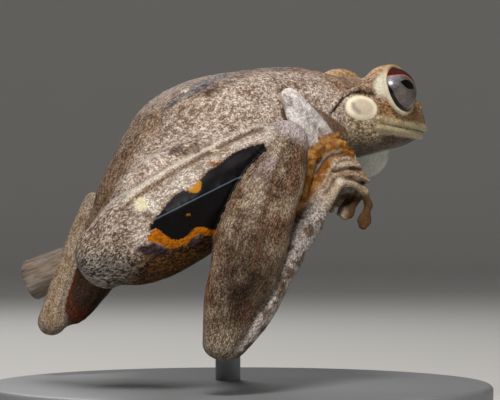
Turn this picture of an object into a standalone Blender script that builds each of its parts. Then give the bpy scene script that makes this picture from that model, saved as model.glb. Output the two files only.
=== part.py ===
"""Western laughing tree frog, life size, crouched across a cut twig on a plain display stand.

Metres, +Z up, the frog's head towards +X and its left side towards +Y. The tables are in millimetres,
with x measured forward from the vent, y to the frog's left and z up from the underside of the base.
"""

import math

import bmesh
import bpy
import numpy as np
from mathutils import Matrix, Vector

# Overall dimensions in millimetres
MM = 0.001
GAP = 0.3
STAND_CENTRE = (20.0, 2.0)
BASE_RADIUS = 28.0
BASE_HEIGHT = 4.0
BASE_CHAMFER = 0.6
ROD_RADIUS = 1.4
ROD_Y = 7.3
HOLE_DEPTH = 2.5
NECK_X = 28.0
EYE_CENTRE = (35.45, -5.3, 36.15)
EYE_RADIUS = 2.75
EYE_AXIS = (0.40, -0.85, 0.27)
LID_RADIUS = 3.24
LID_BACK = 0.5
TYMPANUM_CENTRE = (30.2, -7.0, 34.3)
TYMPANUM_RADII = (2.0, 1.35, 0.55)
NOSTRIL_BUMP = (41.0, -2.0, 34.6)
NOSTRIL_RADIUS = 0.72
TYMPANUM_TILT = (0.0, -1.0, 0.22)
FOLD_RADIUS = 0.5
LIP_RADIUS = 0.42
SAC_CENTRE = (34.6, 0.0, 29.2)
SAC_RADII = (3.2, 3.6, 2.6)
FINGER_RADIUS = 0.5
DISC_WIDTH = 0.8
DISC_THICKNESS = 0.45
WEB_THICKNESS = 0.28

# Sections of the body: x, y, z, half width, half height above the centre, half height below it
TRUNK = (
    (2.3, 0.0, 20.9, 2.4, 2.1, 2.2),
    (3.9, 0.0, 22.1, 3.5, 3.2, 3.1),
    (6.4, 0.0, 24.7, 5.0, 4.6, 4.5),
    (10.3, 0.0, 27.9, 6.4, 6.0, 5.5),
    (12.9, 0.0, 30.0, 7.3, 6.4, 6.0),
    (16.1, 0.0, 31.2, 7.9, 6.5, 6.3),
    (20.6, 0.0, 32.3, 8.0, 6.2, 6.0),
    (24.5, 0.0, 33.3, 7.7, 5.6, 6.0),
    (28.0, 0.0, 33.5, 7.2, 5.0, 5.2),
    (30.0, 0.0, 33.4, 7.3, 4.6, 4.8),
    (33.0, 0.0, 33.2, 7.2, 4.8, 4.6),
    (36.0, 0.0, 33.0, 6.5, 4.4, 3.8),
    (38.3, 0.0, 32.9, 5.4, 3.7, 3.0),
    (40.0, 0.0, 32.9, 4.4, 2.9, 2.5),
    (41.3, 0.0, 32.9, 3.2, 2.3, 2.0),
    (42.2, 0.0, 32.9, 2.0, 1.6, 1.5),
)

# Loose skin of the flank, which fills the hollow between the trunk and the thigh
FLANK_RIGHT = (
    (2.0, -5.4, 22.0, 2.6, 2.6),
    (4.0, -6.4, 25.0, 3.3, 3.0),
    (7.9, -6.9, 27.4, 3.5, 3.0),
    (12.1, -6.9, 29.3, 3.1, 2.7),
    (16.3, -7.0, 30.9, 2.4, 2.1),
    (20.0, -6.9, 31.8, 1.6, 1.6),
)
FLANK_LEFT = (
    (6.5, 4.6, 25.6, 2.2, 2.2),
    (9.5, 6.2, 28.0, 3.0, 2.7),
    (12.5, 6.8, 29.4, 3.0, 2.6),
    (16.3, 7.0, 30.9, 2.4, 2.1),
    (20.0, 6.9, 31.8, 1.6, 1.6),
)

# Sections of the limbs: x, y, z, half width across, half width along the given up direction
THIGH_RIGHT = (
    (-0.6, -5.4, 18.3, 2.9, 3.4),
    (1.0, -6.6, 19.4, 3.8, 4.5),
    (3.4, -8.5, 21.0, 4.1, 5.1),
    (6.9, -10.4, 23.3, 3.9, 5.0),
    (11.6, -11.6, 26.3, 3.3, 4.0),
    (15.6, -12.5, 29.2, 2.7, 3.0),
)
THIGH_LEFT = (
    (7.0, 3.6, 23.2, 2.6, 3.0),
    (8.8, 5.6, 23.8, 3.3, 3.8),
    (11.0, 7.8, 24.9, 3.6, 4.1),
    (13.2, 9.8, 26.4, 3.4, 3.8),
    (15.2, 11.4, 27.8, 3.0, 3.2),
    (16.8, 12.6, 28.8, 2.5, 2.6),
)
SHANK_RIGHT = (
    (17.0, -12.9, 30.6, 2.3, 2.2),
    (15.8, -13.8, 28.3, 2.7, 2.5),
    (14.5, -14.5, 26.3, 3.25, 2.8),
    (12.9, -15.1, 24.0, 3.6, 2.9),
    (11.3, -15.4, 20.1, 4.0, 2.9),
    (10.4, -15.4, 16.6, 3.8, 2.8),
    (9.2, -15.2, 13.9, 3.2, 2.5),
    (8.6, -14.9, 11.2, 2.6, 2.2),
    (8.1, -14.7, 9.3, 2.0, 1.9),
)
SHANK_LEFT = (
    (17.8, 13.3, 29.4, 2.1, 2.1),
    (16.4, 14.2, 26.6, 2.6, 2.5),
    (14.7, 15.3, 23.6, 3.0, 2.7),
    (12.9, 16.6, 20.2, 3.0, 2.7),
    (11.4, 17.7, 17.0, 2.6, 2.6),
    (9.8, 18.8, 13.8, 2.1, 2.3),
    (8.3, 19.7, 11.4, 1.7, 1.9),
)
TARSUS_RIGHT = (
    (8.9, -14.8, 9.0, 1.5, 1.5),
    (12.6, -14.8, 12.6, 1.5, 1.45),
    (15.5, -14.4, 17.0, 1.5, 1.4),
    (18.8, -13.3, 20.7, 1.5, 1.3),
)
TARSUS_LEFT = (
    (6.2, 20.2, 10.4, 1.6, 1.6),
    (7.8, 20.4, 14.8, 1.4, 1.4),
    (9.8, 20.8, 19.4, 1.3, 1.3),
    (11.7, 21.0, 23.5, 1.2, 1.2),
)
UPPER_ARM = (
    (27.2, -6.6, 31.0, 1.9, 2.1),
    (24.6, -8.1, 32.0, 1.7, 1.8),
    (22.0, -9.0, 33.3, 1.45, 1.5),
    (20.5, -9.1, 33.9, 1.2, 1.2),
)
FOREARM_RIGHT = (
    (19.3, -9.8, 34.9, 1.2, 1.2),
    (21.0, -9.6, 33.5, 1.25, 1.25),
    (23.4, -8.8, 31.8, 1.15, 1.15),
    (25.7, -7.9, 30.2, 0.95, 0.95),
)
FOREARM_LEFT = (
    (19.3, 9.8, 34.9, 1.2, 1.2),
    (20.6, 9.3, 33.2, 1.25, 1.25),
    (22.4, 8.4, 30.8, 1.15, 1.15),
    (23.6, 7.4, 28.7, 0.95, 0.95),
)

# Twig: x, y, z and radius along its length
PERCH = (
    (25.5, -12.1, 25.9, 0.95),
    (25.2, -8.0, 25.7, 1.1),
    (24.7, -4.0, 25.5, 1.2),
    (24.0, 0.0, 25.2, 1.3),
    (22.6, 5.0, 24.4, 1.45),
    (20.8, 10.0, 23.0, 1.75),
    (19.0, 15.0, 21.2, 1.9),
    (16.4, 19.5, 19.4, 2.0),
    (12.6, 25.0, 17.2, 2.2),
    (8.5, 30.0, 14.8, 2.4),
)

# Right foot: toe joints from the knuckle to the disc, outermost toe first
ANKLE_RIGHT = (19.4, -13.0, 21.3)
TOES_RIGHT = (
    ((23.7, -12.8, 26.0), (25.5, -12.9, 26.1), (26.8, -12.8, 25.0), (27.5, -12.6, 23.7), (27.3, -12.5, 22.8)),
    ((23.7, -12.0, 26.7), (24.8, -11.9, 27.8), (26.4, -11.7, 27.9), (27.5, -11.5, 26.6), (27.4, -11.3, 24.8),
     (26.3, -11.2, 23.5)),
    ((23.6, -11.2, 27.6), (24.7, -11.0, 28.4), (26.3, -10.8, 28.2), (27.3, -10.6, 26.8), (27.2, -10.4, 25.0),
     (26.3, -10.3, 23.9)),
    ((23.4, -10.4, 28.4), (24.4, -10.2, 29.7), (26.0, -9.9, 30.0), (27.3, -9.7, 29.0), (27.6, -9.5, 27.3),
     (27.1, -9.4, 26.0)),
    ((22.7, -9.8, 29.2), (23.3, -9.7, 30.2), (24.1, -9.7, 30.6)),
)
INNER_FOLD = (
    (18.3, -12.3, 22.0, 0.5, 0.5),
    (19.3, -12.2, 24.4, 0.7, 0.8),
    (20.2, -11.8, 26.6, 0.8, 1.0),
    (21.3, -11.0, 28.6, 0.8, 1.0),
    (22.6, -10.3, 29.6, 0.8, 0.9),
)

# Digits that grip the twig: y where each crosses the twig, end angle in degrees below the horizontal
ANKLE_LEFT = (11.9, 21.0, 24.0)
TOES_LEFT = ((22.6, 25.0), (21.3, 50.0), (20.1, 40.0), (18.9, 30.0), (17.9, 10.0))
FINGERS_RIGHT = ((-8.2, 20.0), (-7.0, 35.0), (-5.8, 30.0), (-4.7, 10.0))
FINGERS_LEFT = ((5.6, 20.0), (4.5, 35.0), (3.4, 30.0), (2.3, 10.0))

# Mouth: x and z of the line from the snout back to the corner and down behind the jaw
MOUTH_LINE = ((46.0, 31.9), (41.0, 31.8), (35.5, 32.2), (32.6, 32.6), (31.0, 32.2), (29.6, 30.2), (29.2, 26.0))

# Colour, roughness and metallic of each finish
FINISHES = {
    "back_skin": ((0.22, 0.16, 0.11), 0.62, 0.0),
    "limb_skin": ((0.24, 0.18, 0.13), 0.62, 0.0),
    "digit_skin": ((0.42, 0.24, 0.10), 0.55, 0.0),
    "throat_skin": ((0.62, 0.60, 0.54), 0.55, 0.0),
    "eye_gloss": ((0.05, 0.045, 0.04), 0.08, 0.0),
    "bark": ((0.16, 0.12, 0.09), 0.85, 0.0),
    "stand_paint": ((0.30, 0.30, 0.30), 0.45, 0.0),
    "stand_steel": ((0.55, 0.55, 0.56), 0.32, 1.0),
}


def clear_scene():
    for obj in list(bpy.data.objects):
        bpy.data.objects.remove(obj, do_unlink=True)


def finish_material(name):
    """The Principled material of one finish, made once."""
    material = bpy.data.materials.get(name)
    if material:
        return material
    colour, roughness, metallic = FINISHES[name]
    material = bpy.data.materials.new(name)
    material.use_nodes = True
    shader = material.node_tree.nodes["Principled BSDF"]
    shader.inputs["Base Color"].default_value = (*colour, 1.0)
    shader.inputs["Roughness"].default_value = roughness
    shader.inputs["Metallic"].default_value = metallic
    material.diffuse_color = (*colour, 1.0)
    return material


def to_world(point):
    return (point[0] - STAND_CENTRE[0]) * MM, (point[1] - STAND_CENTRE[1]) * MM, point[2] * MM


def make_object(name, points, faces):
    """A mesh object from points in table millimetres, with its faces turned outward."""
    mesh = bpy.data.meshes.new(name)
    mesh.from_pydata([to_world(point) for point in points], [], faces)
    shell = bmesh.new()
    shell.from_mesh(mesh)
    bmesh.ops.recalc_face_normals(shell, faces=shell.faces)
    shell.to_mesh(mesh)
    shell.free()
    obj = bpy.data.objects.new(name, mesh)
    bpy.context.scene.collection.objects.link(obj)
    return obj


def mirrored(rows):
    """The same rows on the other side of the frog."""
    return tuple((row[0], -row[1], *row[2:]) for row in rows)


def smooth_rows(rows, per_span):
    """Catmull-Rom points through the rows, every column at once."""
    table = np.array(rows, float)
    padded = np.vstack([2 * table[0] - table[1], table, 2 * table[-1] - table[-2]])
    out = []
    for i in range(len(table) - 1):
        before, start, end, after = padded[i : i + 4]
        for k in range(per_span):
            t = k / per_span
            out.append(
                0.5
                * (
                    2 * start
                    + (end - before) * t
                    + (2 * before - 5 * start + 4 * end - after) * t**2
                    + (3 * start - before - 3 * end + after) * t**3
                )
            )
    out.append(table[-1])
    return np.array(out)


def ring_shape(power, sides):
    """Unit superellipse as pairs (across, up)."""
    shape = []
    for k in range(sides):
        turn = 2 * math.pi * k / sides
        across = math.copysign(abs(math.cos(turn)) ** (2 / power), math.cos(turn))
        height = math.copysign(abs(math.sin(turn)) ** (2 / power), math.sin(turn))
        shape.append((across, height))
    return shape


def loft(rows, up=(0, 0, 1), sides=16, per_span=3, power=2.0, grow=0.0, caps=(1.0, 1.0), cap_rings=3):
    """A closed body through sections (x, y, z, half width, half height [, half height below])."""
    rows = [(*row, row[4]) if len(row) == 5 else row for row in rows]
    table = smooth_rows(rows, per_span)
    centres = table[:, :3]
    tangents = np.gradient(centres, axis=0)
    tangents /= np.linalg.norm(tangents, axis=1)[:, None]
    shape = ring_shape(power, sides)
    sections = []
    for end, sign in ((0, -1), (-1, 1)):
        radius = caps[0 if end == 0 else 1] * table[end, 3:].mean() + grow
        cap = []
        for k in range(1, cap_rings + 1):
            angle = 0.5 * math.pi * k / cap_rings
            offset = sign * math.sin(angle) * radius
            cap.append((centres[end] + tangents[end] * offset, tangents[end], table[end, 3:], math.cos(angle)))
        sections.append(cap)
    body = [(c, t, r, 1.0) for c, t, r in zip(centres, tangents, table[:, 3:])]
    start_cap, end_cap = sections
    stations = start_cap[-2::-1] + body + end_cap[:-1]
    poles = (start_cap[-1][0], end_cap[-1][0])
    points = []
    for centre, tangent, radii, shrink in stations:
        side = np.cross(tangent, up)
        side /= np.linalg.norm(side)
        top = np.cross(side, tangent)
        for across, height in shape:
            half = (radii[1] if height > 0 else radii[2]) + grow
            offset = side * across * (radii[0] + grow) + top * height * half
            points.append(centre + offset * shrink)
    faces = []
    for i in range(len(stations) - 1):
        for k in range(sides):
            a, b = i * sides + k, i * sides + (k + 1) % sides
            faces.append((a, b, b + sides, a + sides))
    first_pole = len(points)
    points.extend(poles)
    last = (len(stations) - 1) * sides
    for k in range(sides):
        faces.append((first_pole, (k + 1) % sides, k))
        faces.append((first_pole + 1, last + k, last + (k + 1) % sides))
    return make_object("loft", points, faces)


def ball(centre, radii, axis=(0, 0, 1), segments=24, rings=14):
    """An ellipsoid whose third radius lies along the axis."""
    shell = bmesh.new()
    bmesh.ops.create_uvsphere(shell, u_segments=segments, v_segments=rings, radius=1.0)
    turn = Vector(axis).normalized().to_track_quat("Z", "Y").to_matrix().to_4x4()
    size = Matrix.Diagonal((*radii, 1.0))
    shell.transform(Matrix.Translation(centre) @ turn @ size)
    points = [tuple(vertex.co) for vertex in shell.verts]
    faces = [tuple(vertex.index for vertex in face.verts) for face in shell.faces]
    shell.free()
    return make_object("ball", points, faces)


def prism(outline, reach=30.0):
    """A closed outline of (x, z) corners stretched across the frog."""
    count = len(outline)
    points = [(x, y, z) for y in (-reach, reach) for x, z in outline]
    faces = [tuple(range(count)), tuple(range(count, 2 * count))]
    faces += [(k, (k + 1) % count, (k + 1) % count + count, k + count) for k in range(count)]
    return make_object("prism", points, faces)


def lathe(profile, centre, sides):
    """A profile of (radius, z) turned about an upright axis; its ends lie on the axis."""
    points = []
    faces = []
    inner = profile[1:-1]
    for radius, z in inner:
        for k in range(sides):
            turn = 2 * math.pi * k / sides
            points.append((centre[0] + radius * math.cos(turn), centre[1] + radius * math.sin(turn), z))
    for i in range(len(inner) - 1):
        for k in range(sides):
            a, b = i * sides + k, i * sides + (k + 1) % sides
            faces.append((a, b, b + sides, a + sides))
    points.append((centre[0], centre[1], profile[0][1]))
    points.append((centre[0], centre[1], profile[-1][1]))
    last = (len(inner) - 1) * sides
    for k in range(sides):
        faces.append((len(points) - 2, (k + 1) % sides, k))
        faces.append((len(points) - 1, last + k, last + (k + 1) % sides))
    return make_object("lathe", points, faces)


def apply_boolean(obj, others, operation):
    """Joins the others to the object, or cuts them from it, and removes them."""
    group = bpy.data.collections.new("operands")
    bpy.context.scene.collection.children.link(group)
    for other in others:
        bpy.context.scene.collection.objects.unlink(other)
        group.objects.link(other)
    modifier = obj.modifiers.new("join", "BOOLEAN")
    modifier.operation = operation
    modifier.operand_type = "COLLECTION"
    modifier.collection = group
    modifier.solver = "EXACT"
    bpy.context.view_layer.update()
    graph = bpy.context.evaluated_depsgraph_get()
    result = bpy.data.meshes.new_from_object(obj.evaluated_get(graph))
    obj.modifiers.clear()
    old = obj.data
    obj.data = result
    bpy.data.meshes.remove(old)
    for other in list(group.objects):
        bpy.data.objects.remove(other, do_unlink=True)
    bpy.data.collections.remove(group)


def keep_largest(obj):
    """Only the closed surface with the greatest volume stays."""
    shell = bmesh.new()
    shell.from_mesh(obj.data)
    islands = []
    unseen = set(shell.faces)
    while unseen:
        island = {unseen.pop()}
        front = list(island)
        while front:
            face = front.pop()
            for edge in face.edges:
                for other in edge.link_faces:
                    if other in unseen:
                        unseen.discard(other)
                        island.add(other)
                        front.append(other)
        islands.append(island)
    if len(islands) > 1:
        extent = [sum(face.calc_area() for face in island) for island in islands]
        best = islands[extent.index(max(extent))]
        doomed = [face for face in shell.faces if face not in best]
        bmesh.ops.delete(shell, geom=doomed, context="FACES")
    shell.to_mesh(obj.data)
    shell.free()


def node(name, finish, pieces, cutters=()):
    """One named body: the pieces joined, then the cutters taken off."""
    obj = pieces[0]
    if len(pieces) > 1:
        apply_boolean(obj, pieces[1:], "UNION")
    if cutters:
        apply_boolean(obj, list(cutters), "DIFFERENCE")
    keep_largest(obj)
    obj.name = name
    obj.data.name = name
    obj.data.materials.clear()
    obj.data.materials.append(finish_material(finish))
    for polygon in obj.data.polygons:
        polygon.use_smooth = True
        polygon.material_index = 0
    return obj


def trunk(**options):
    return loft(TRUNK, sides=28, per_span=2, power=2.25, caps=(0.9, 0.25), **options)


def head_side(x, z):
    """Half width of the trunk at a place on its side."""
    rows = np.array(TRUNK)
    centre, width, above, below = (np.interp(x, rows[:, 0], rows[:, k]) for k in (2, 3, 4, 5))
    half = above if z > centre else below
    reach = max(0.0, 1.0 - abs((z - centre) / half) ** 2.25)
    return width * reach ** (1 / 2.25)


def beyond(x):
    """Cutter that holds everything in front of x."""
    return prism(((x, -10.0), (70.0, -10.0), (70.0, 60.0), (x, 60.0)))


def behind(x):
    return prism(((x, -10.0), (x, 60.0), (-30.0, 60.0), (-30.0, -10.0)))


def below_mouth():
    line = [(x, z + GAP / 2) for x, z in MOUTH_LINE[:-1]]
    back_x = MOUTH_LINE[-1][0] - GAP / 2
    return prism([*line[:-1], (line[-1][0] - GAP / 2, line[-1][1]), (back_x, 10.0), (60.0, 10.0), (60.0, line[0][1])])


def above_mouth():
    line = [(x, z - GAP / 2) for x, z in MOUTH_LINE[:-1]]
    back_x = MOUTH_LINE[-1][0] + GAP / 2
    return prism([*line[:-1], (line[-1][0] + GAP / 2, line[-1][1]), (back_x, 10.0), (-20.0, 10.0), (-20.0, 60.0),
                  (60.0, 60.0), (60.0, line[0][1])])


def lip(lift, setback):
    """A thin ridge round the snout, this far above the mouth line."""
    right = []
    for x in (32.4, 34.5, 36.5, 38.5, 40.0, 41.2, 42.0):
        z = np.interp(x, [p[0] for p in MOUTH_LINE[3::-1]], [p[1] for p in MOUTH_LINE[3::-1]]) + lift
        right.append((x, -head_side(x, z) + setback, z, LIP_RADIUS, LIP_RADIUS))
    front = (42.6 - 0.3 * setback, 0.0, MOUTH_LINE[1][1] + lift, LIP_RADIUS, LIP_RADIUS)
    left = mirrored(right)[::-1]
    return loft((*right, front, *left), sides=8, per_span=1, cap_rings=2)


def eye_ball(side, grow=0.0):
    centre = (EYE_CENTRE[0], EYE_CENTRE[1] * side, EYE_CENTRE[2])
    axis = (EYE_AXIS[0], EYE_AXIS[1] * side, EYE_AXIS[2])
    radius = EYE_RADIUS + grow
    return ball(centre, (radius, radius, radius), axis, 20, 12)


def lid_mound(side):
    axis = Vector((EYE_AXIS[0], EYE_AXIS[1] * side, EYE_AXIS[2])).normalized()
    centre = Vector((EYE_CENTRE[0], EYE_CENTRE[1] * side, EYE_CENTRE[2])) - axis * LID_BACK
    return ball(centre, (LID_RADIUS, LID_RADIUS, LID_RADIUS), axis, 20, 12)


def head_features(side):
    """Lid mound, eyebrow ridge, nostril, eardrum and the fold above it on one side."""
    ear = (TYMPANUM_CENTRE[0], TYMPANUM_CENTRE[1] * side, TYMPANUM_CENTRE[2])
    tilt = (TYMPANUM_TILT[0], TYMPANUM_TILT[1] * side, TYMPANUM_TILT[2])
    fold = (
        (32.6, -6.2, 36.0, 0.4, 0.4),
        (30.6, -6.35, 36.3, FOLD_RADIUS, FOLD_RADIUS),
        (28.95, -6.55, 35.6, FOLD_RADIUS, FOLD_RADIUS),
    )
    ridge = ((37.6, -4.3, 36.3, 0.7, 0.7), (39.2, -2.9, 35.8, 0.6, 0.6), (40.5, -1.8, 35.2, 0.65, 0.65))
    if side < 0:
        fold = mirrored(fold)
        ridge = mirrored(ridge)
    return [
        lid_mound(side),
        ball(ear, TYMPANUM_RADII, tilt, 16, 6),
        ball((NOSTRIL_BUMP[0], NOSTRIL_BUMP[1] * side, NOSTRIL_BUMP[2]), (NOSTRIL_RADIUS,) * 3, (1, 0, 0), 10, 6),
        loft(fold, up=(0, 1, 0), sides=8, per_span=2, cap_rings=2),
        loft(ridge, sides=8, per_span=2, cap_rings=2),
    ]


def nostril(side):
    return ball((41.2, -2.65 * side, 34.7), (0.28, 0.28, 0.5), (0.5, -side, 0.3), 6, 5)


def perch_at(y):
    """Centre, radius and direction of the twig where it crosses y."""
    table = smooth_rows(PERCH, 8)
    order = table[:, 1]
    centre = np.array([np.interp(y, order, table[:, k]) for k in (0, 1, 2)])
    radius = np.interp(y, order, table[:, 3])
    ahead = np.array([np.interp(y + 0.5, order, table[:, k]) for k in (0, 1, 2)])
    back = np.array([np.interp(y - 0.5, order, table[:, k]) for k in (0, 1, 2)])
    along = (ahead - back) / np.linalg.norm(ahead - back)
    return centre, radius, along


def perch(grow=0.0):
    rows = [(x, y, z, r, r) for x, y, z, r in PERCH]
    return loft(rows, sides=14, per_span=2, grow=grow, caps=(0.12, 0.12), cap_rings=2)


def digit_rows(joints, first_radius):
    """Sections of a digit: slim shaft, slimmer neck, then the wide flat disc at its tip."""
    count = len(joints)
    rows = []
    for i, joint in enumerate(joints):
        fade = i / (count - 1)
        radius = first_radius + (0.46 - first_radius) * min(1.0, fade * 1.2)
        rows.append((*joint, radius, radius))
    before, tip = np.array(joints[-2]), np.array(joints[-1])
    step = (tip - before) / np.linalg.norm(tip - before)
    rows.append((*(tip + 0.55 * step), DISC_THICKNESS, DISC_WIDTH))
    rows.append((*(tip + 1.15 * step), DISC_THICKNESS * 0.85, DISC_WIDTH * 0.85))
    return rows


def digit(joints, up, first_radius=0.6):
    return loft(digit_rows(joints, first_radius), up=up, sides=6, per_span=2, caps=(1.0, 0.8), cap_rings=2)


def web(one, other, count, up):
    """A thin sheet of skin between two digits over their first joints."""
    rows = []
    for a, b in list(zip(one, other))[:count]:
        a, b = np.array(a), np.array(b)
        rows.append((*((a + b) / 2), WEB_THICKNESS, max(0.4, np.linalg.norm(a - b) / 2)))
    return loft(rows, up=up, sides=6, per_span=1, cap_rings=1)


def gripping_joints(start, y, below, radius=FINGER_RADIUS):
    """Joints of a digit that starts at the palm, passes over the twig and curls down in front of it."""
    centre, perch_radius, along = perch_at(y)
    ahead = np.cross(along, (0, 0, 1))
    ahead /= np.linalg.norm(ahead)
    upward = np.cross(ahead, along)
    reach = perch_radius + GAP + radius + 0.05
    joints = [tuple(start)]
    for angle in (112.0, 80.0, 45.0, 10.0, -below):
        turn = math.radians(angle)
        joints.append(tuple(centre + reach * (math.cos(turn) * ahead + math.sin(turn) * upward)))
    return joints


def hand(wrist, fingers):
    """Palm and four fingers laid over the twig."""
    pieces = []
    digits = []
    ys = [y for y, _ in fingers]
    middle, perch_radius, along = perch_at(sum(ys) / len(ys))
    palm_point = middle + np.array((-1.3, 0.0, perch_radius + GAP + 0.75))
    for y, below in fingers:
        centre, _, _ = perch_at(y)
        start = 0.6 * palm_point + 0.4 * (centre + np.array((-1.3, 0.0, perch_radius + GAP + 0.6)))
        digits.append(gripping_joints(start, y, below))
    wrist = np.array(wrist)
    palm = (
        (*wrist, 0.9, 0.9),
        (*(0.5 * wrist + 0.5 * palm_point), 1.1, 0.85),
        (*palm_point, 1.6, 0.7),
    )
    up = np.cross(palm_point - wrist, along)
    pieces.append(loft(palm, up=up, sides=10, per_span=2, cap_rings=2))
    for joints in digits:
        pieces.append(digit(joints, along, 0.5))
    for one, other in zip(digits, digits[1:]):
        pieces.append(web(one, other, 3, along))
    return pieces


def foot_right():
    """Sole, five toes over the twig's tip, the webs between them and the fold of skin behind them."""
    up = (0, 1, 0)
    ankle = np.array(ANKLE_RIGHT)
    sole_up = (-0.51, -0.70, 0.49)
    middle = np.array(TOES_RIGHT[2][0])
    sole = (
        (*ankle, 1.4, 1.15),
        (*(0.6 * ankle + 0.4 * middle), 1.6, 0.95),
        (*(0.25 * ankle + 0.75 * middle), 2.0, 0.75),
        (*middle, 2.3, 0.6),
    )
    pieces = [loft(sole, up=sole_up, sides=12, per_span=2, cap_rings=2)]
    for joints in TOES_RIGHT:
        start = tuple(0.5 * ankle + 0.5 * np.array(joints[0]))
        pieces.append(digit((start, *joints), up, 0.6))
    for one, other in zip(TOES_RIGHT, TOES_RIGHT[1:]):
        pieces.append(web(one, other, 3, up))
    pieces.append(loft(INNER_FOLD, up=up, sides=8, per_span=2, cap_rings=2))
    return pieces


def foot_left():
    """Sole and five toes laid over the twig behind the frog's left side."""
    ankle = np.array(ANKLE_LEFT)
    _, _, along = perch_at(20.1)
    digits = []
    for y, below in TOES_LEFT:
        centre, perch_radius, _ = perch_at(y)
        start = centre + np.array((-2.0, 0.0, perch_radius + 0.9))
        digits.append(gripping_joints(start, y, below))
    middle = np.array(digits[2][0])
    sole = (
        (*ankle, 1.15, 1.1),
        (*(0.5 * ankle + 0.5 * middle), 1.6, 0.9),
        (*middle, 2.4, 0.65),
    )
    up = np.cross(middle - ankle, along)
    pieces = [loft(sole, up=up, sides=12, per_span=2, cap_rings=2)]
    for joints in digits:
        pieces.append(digit(joints, along, 0.55))
    for one, other in zip(digits, digits[1:]):
        pieces.append(web(one, other, 4, along))
    return pieces


def thigh(rows, grow=0.0):
    return loft(rows, sides=18, per_span=2, grow=grow, caps=(0.9, 0.8))


def shank(rows, grow=0.0):
    up = (0, 1, 0)
    return loft(rows, up=up, sides=16, per_span=2, power=2.2, grow=grow, caps=(0.8, 0.8))


def tarsus(rows, grow=0.0):
    return loft(rows, up=(0, 1, 0), sides=12, per_span=2, grow=grow, cap_rings=2)


def arm(rows, grow=0.0):
    return loft(rows, up=(0, 1, 0), sides=12, per_span=2, grow=grow, cap_rings=2)


def build_body():
    cutters = [beyond(NECK_X - GAP / 2)]
    for rows in (THIGH_RIGHT, THIGH_LEFT):
        cutters.append(thigh(rows, GAP))
    for rows in (UPPER_ARM, mirrored(UPPER_ARM), FOREARM_RIGHT, FOREARM_LEFT):
        cutters.append(arm(rows, GAP))
    flanks = [loft(rows, sides=16, per_span=2, cap_rings=2) for rows in (FLANK_RIGHT, FLANK_LEFT)]
    node("torso", "back_skin", [trunk(), *flanks], cutters)
    features = head_features(1) + head_features(-1)
    holes = [behind(NECK_X + GAP / 2), below_mouth()]
    holes += [eye_ball(side, GAP) for side in (1, -1)]
    holes += [nostril(side) for side in (1, -1)]
    holes += [arm(rows, GAP) for rows in (UPPER_ARM, mirrored(UPPER_ARM))]
    node("head", "back_skin", [trunk(), *features, lip(0.5, 0.1)], holes)
    sac = ball(SAC_CENTRE, SAC_RADII, (0, 0, 1), 20, 12)
    node("lower_jaw", "throat_skin", [trunk(), sac, lip(-0.5, 0.1)], [behind(NECK_X + GAP / 2), above_mouth()])
    for side, word in ((1, "right"), (-1, "left")):
        node("eye_" + word, "eye_gloss", [eye_ball(side)])


def build_hind_legs():
    for word, thigh_rows, shank_rows, tarsus_rows, foot in (
        ("right", THIGH_RIGHT, SHANK_RIGHT, TARSUS_RIGHT, foot_right),
        ("left", THIGH_LEFT, SHANK_LEFT, TARSUS_LEFT, foot_left),
    ):
        node("thigh_" + word, "limb_skin", [thigh(thigh_rows)], [shank(shank_rows, GAP)])
        node("shank_" + word, "limb_skin", [shank(shank_rows)], [perch(GAP)])
        node("tarsus_" + word, "limb_skin", [tarsus(tarsus_rows)], [shank(shank_rows, GAP), perch(GAP)])
        limits = [tarsus(tarsus_rows, GAP), shank(shank_rows, GAP), perch(GAP)]
        if word == "right":
            limits.append(arm(FOREARM_RIGHT, GAP))
            limits.append(arm(UPPER_ARM, GAP))
        node("foot_" + word, "digit_skin", foot(), limits)


def build_arms():
    for word, upper, fore, fingers in (
        ("right", UPPER_ARM, FOREARM_RIGHT, FINGERS_RIGHT),
        ("left", mirrored(UPPER_ARM), FOREARM_LEFT, FINGERS_LEFT),
    ):
        node("upper_arm_" + word, "limb_skin", [arm(upper)], [arm(fore, GAP)])
        node("forearm_" + word, "limb_skin", [arm(fore)])
        limits = [arm(fore, GAP), perch(GAP), trunk(grow=GAP)]
        node("hand_" + word, "digit_skin", hand(fore[-1][:3], fingers), limits)


def build_stand():
    node("perch", "bark", [perch()])
    centre, _, _ = perch_at(ROD_Y)
    top = centre[2]
    hole_floor = BASE_HEIGHT - HOLE_DEPTH
    rod_profile = (
        (0.0, hole_floor + GAP),
        (ROD_RADIUS, hole_floor + GAP),
        (ROD_RADIUS, top),
        (0.0, top),
    )
    node("stand_rod", "stand_steel", [lathe(rod_profile, centre, 20)], [perch(GAP)])
    base_profile = (
        (0.0, 0.0),
        (BASE_RADIUS - BASE_CHAMFER, 0.0),
        (BASE_RADIUS, BASE_CHAMFER),
        (BASE_RADIUS, BASE_HEIGHT - BASE_CHAMFER),
        (BASE_RADIUS - BASE_CHAMFER, BASE_HEIGHT),
        (0.0, BASE_HEIGHT),
    )
    hole_radius = ROD_RADIUS + GAP
    hole_profile = ((0.0, hole_floor), (hole_radius, hole_floor), (hole_radius, 10.0), (0.0, 10.0))
    base = lathe(base_profile, STAND_CENTRE, 48)
    node("stand_base", "stand_paint", [base], [lathe(hole_profile, centre, 20)])


def main():
    clear_scene()
    build_body()
    build_hind_legs()
    build_arms()
    build_stand()


main()
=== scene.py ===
"""Looks of the western laughing tree frog on its twig and display stand."""

import math

import bmesh
import bpy
import numpy as np
from mathutils import Matrix, Vector

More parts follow.
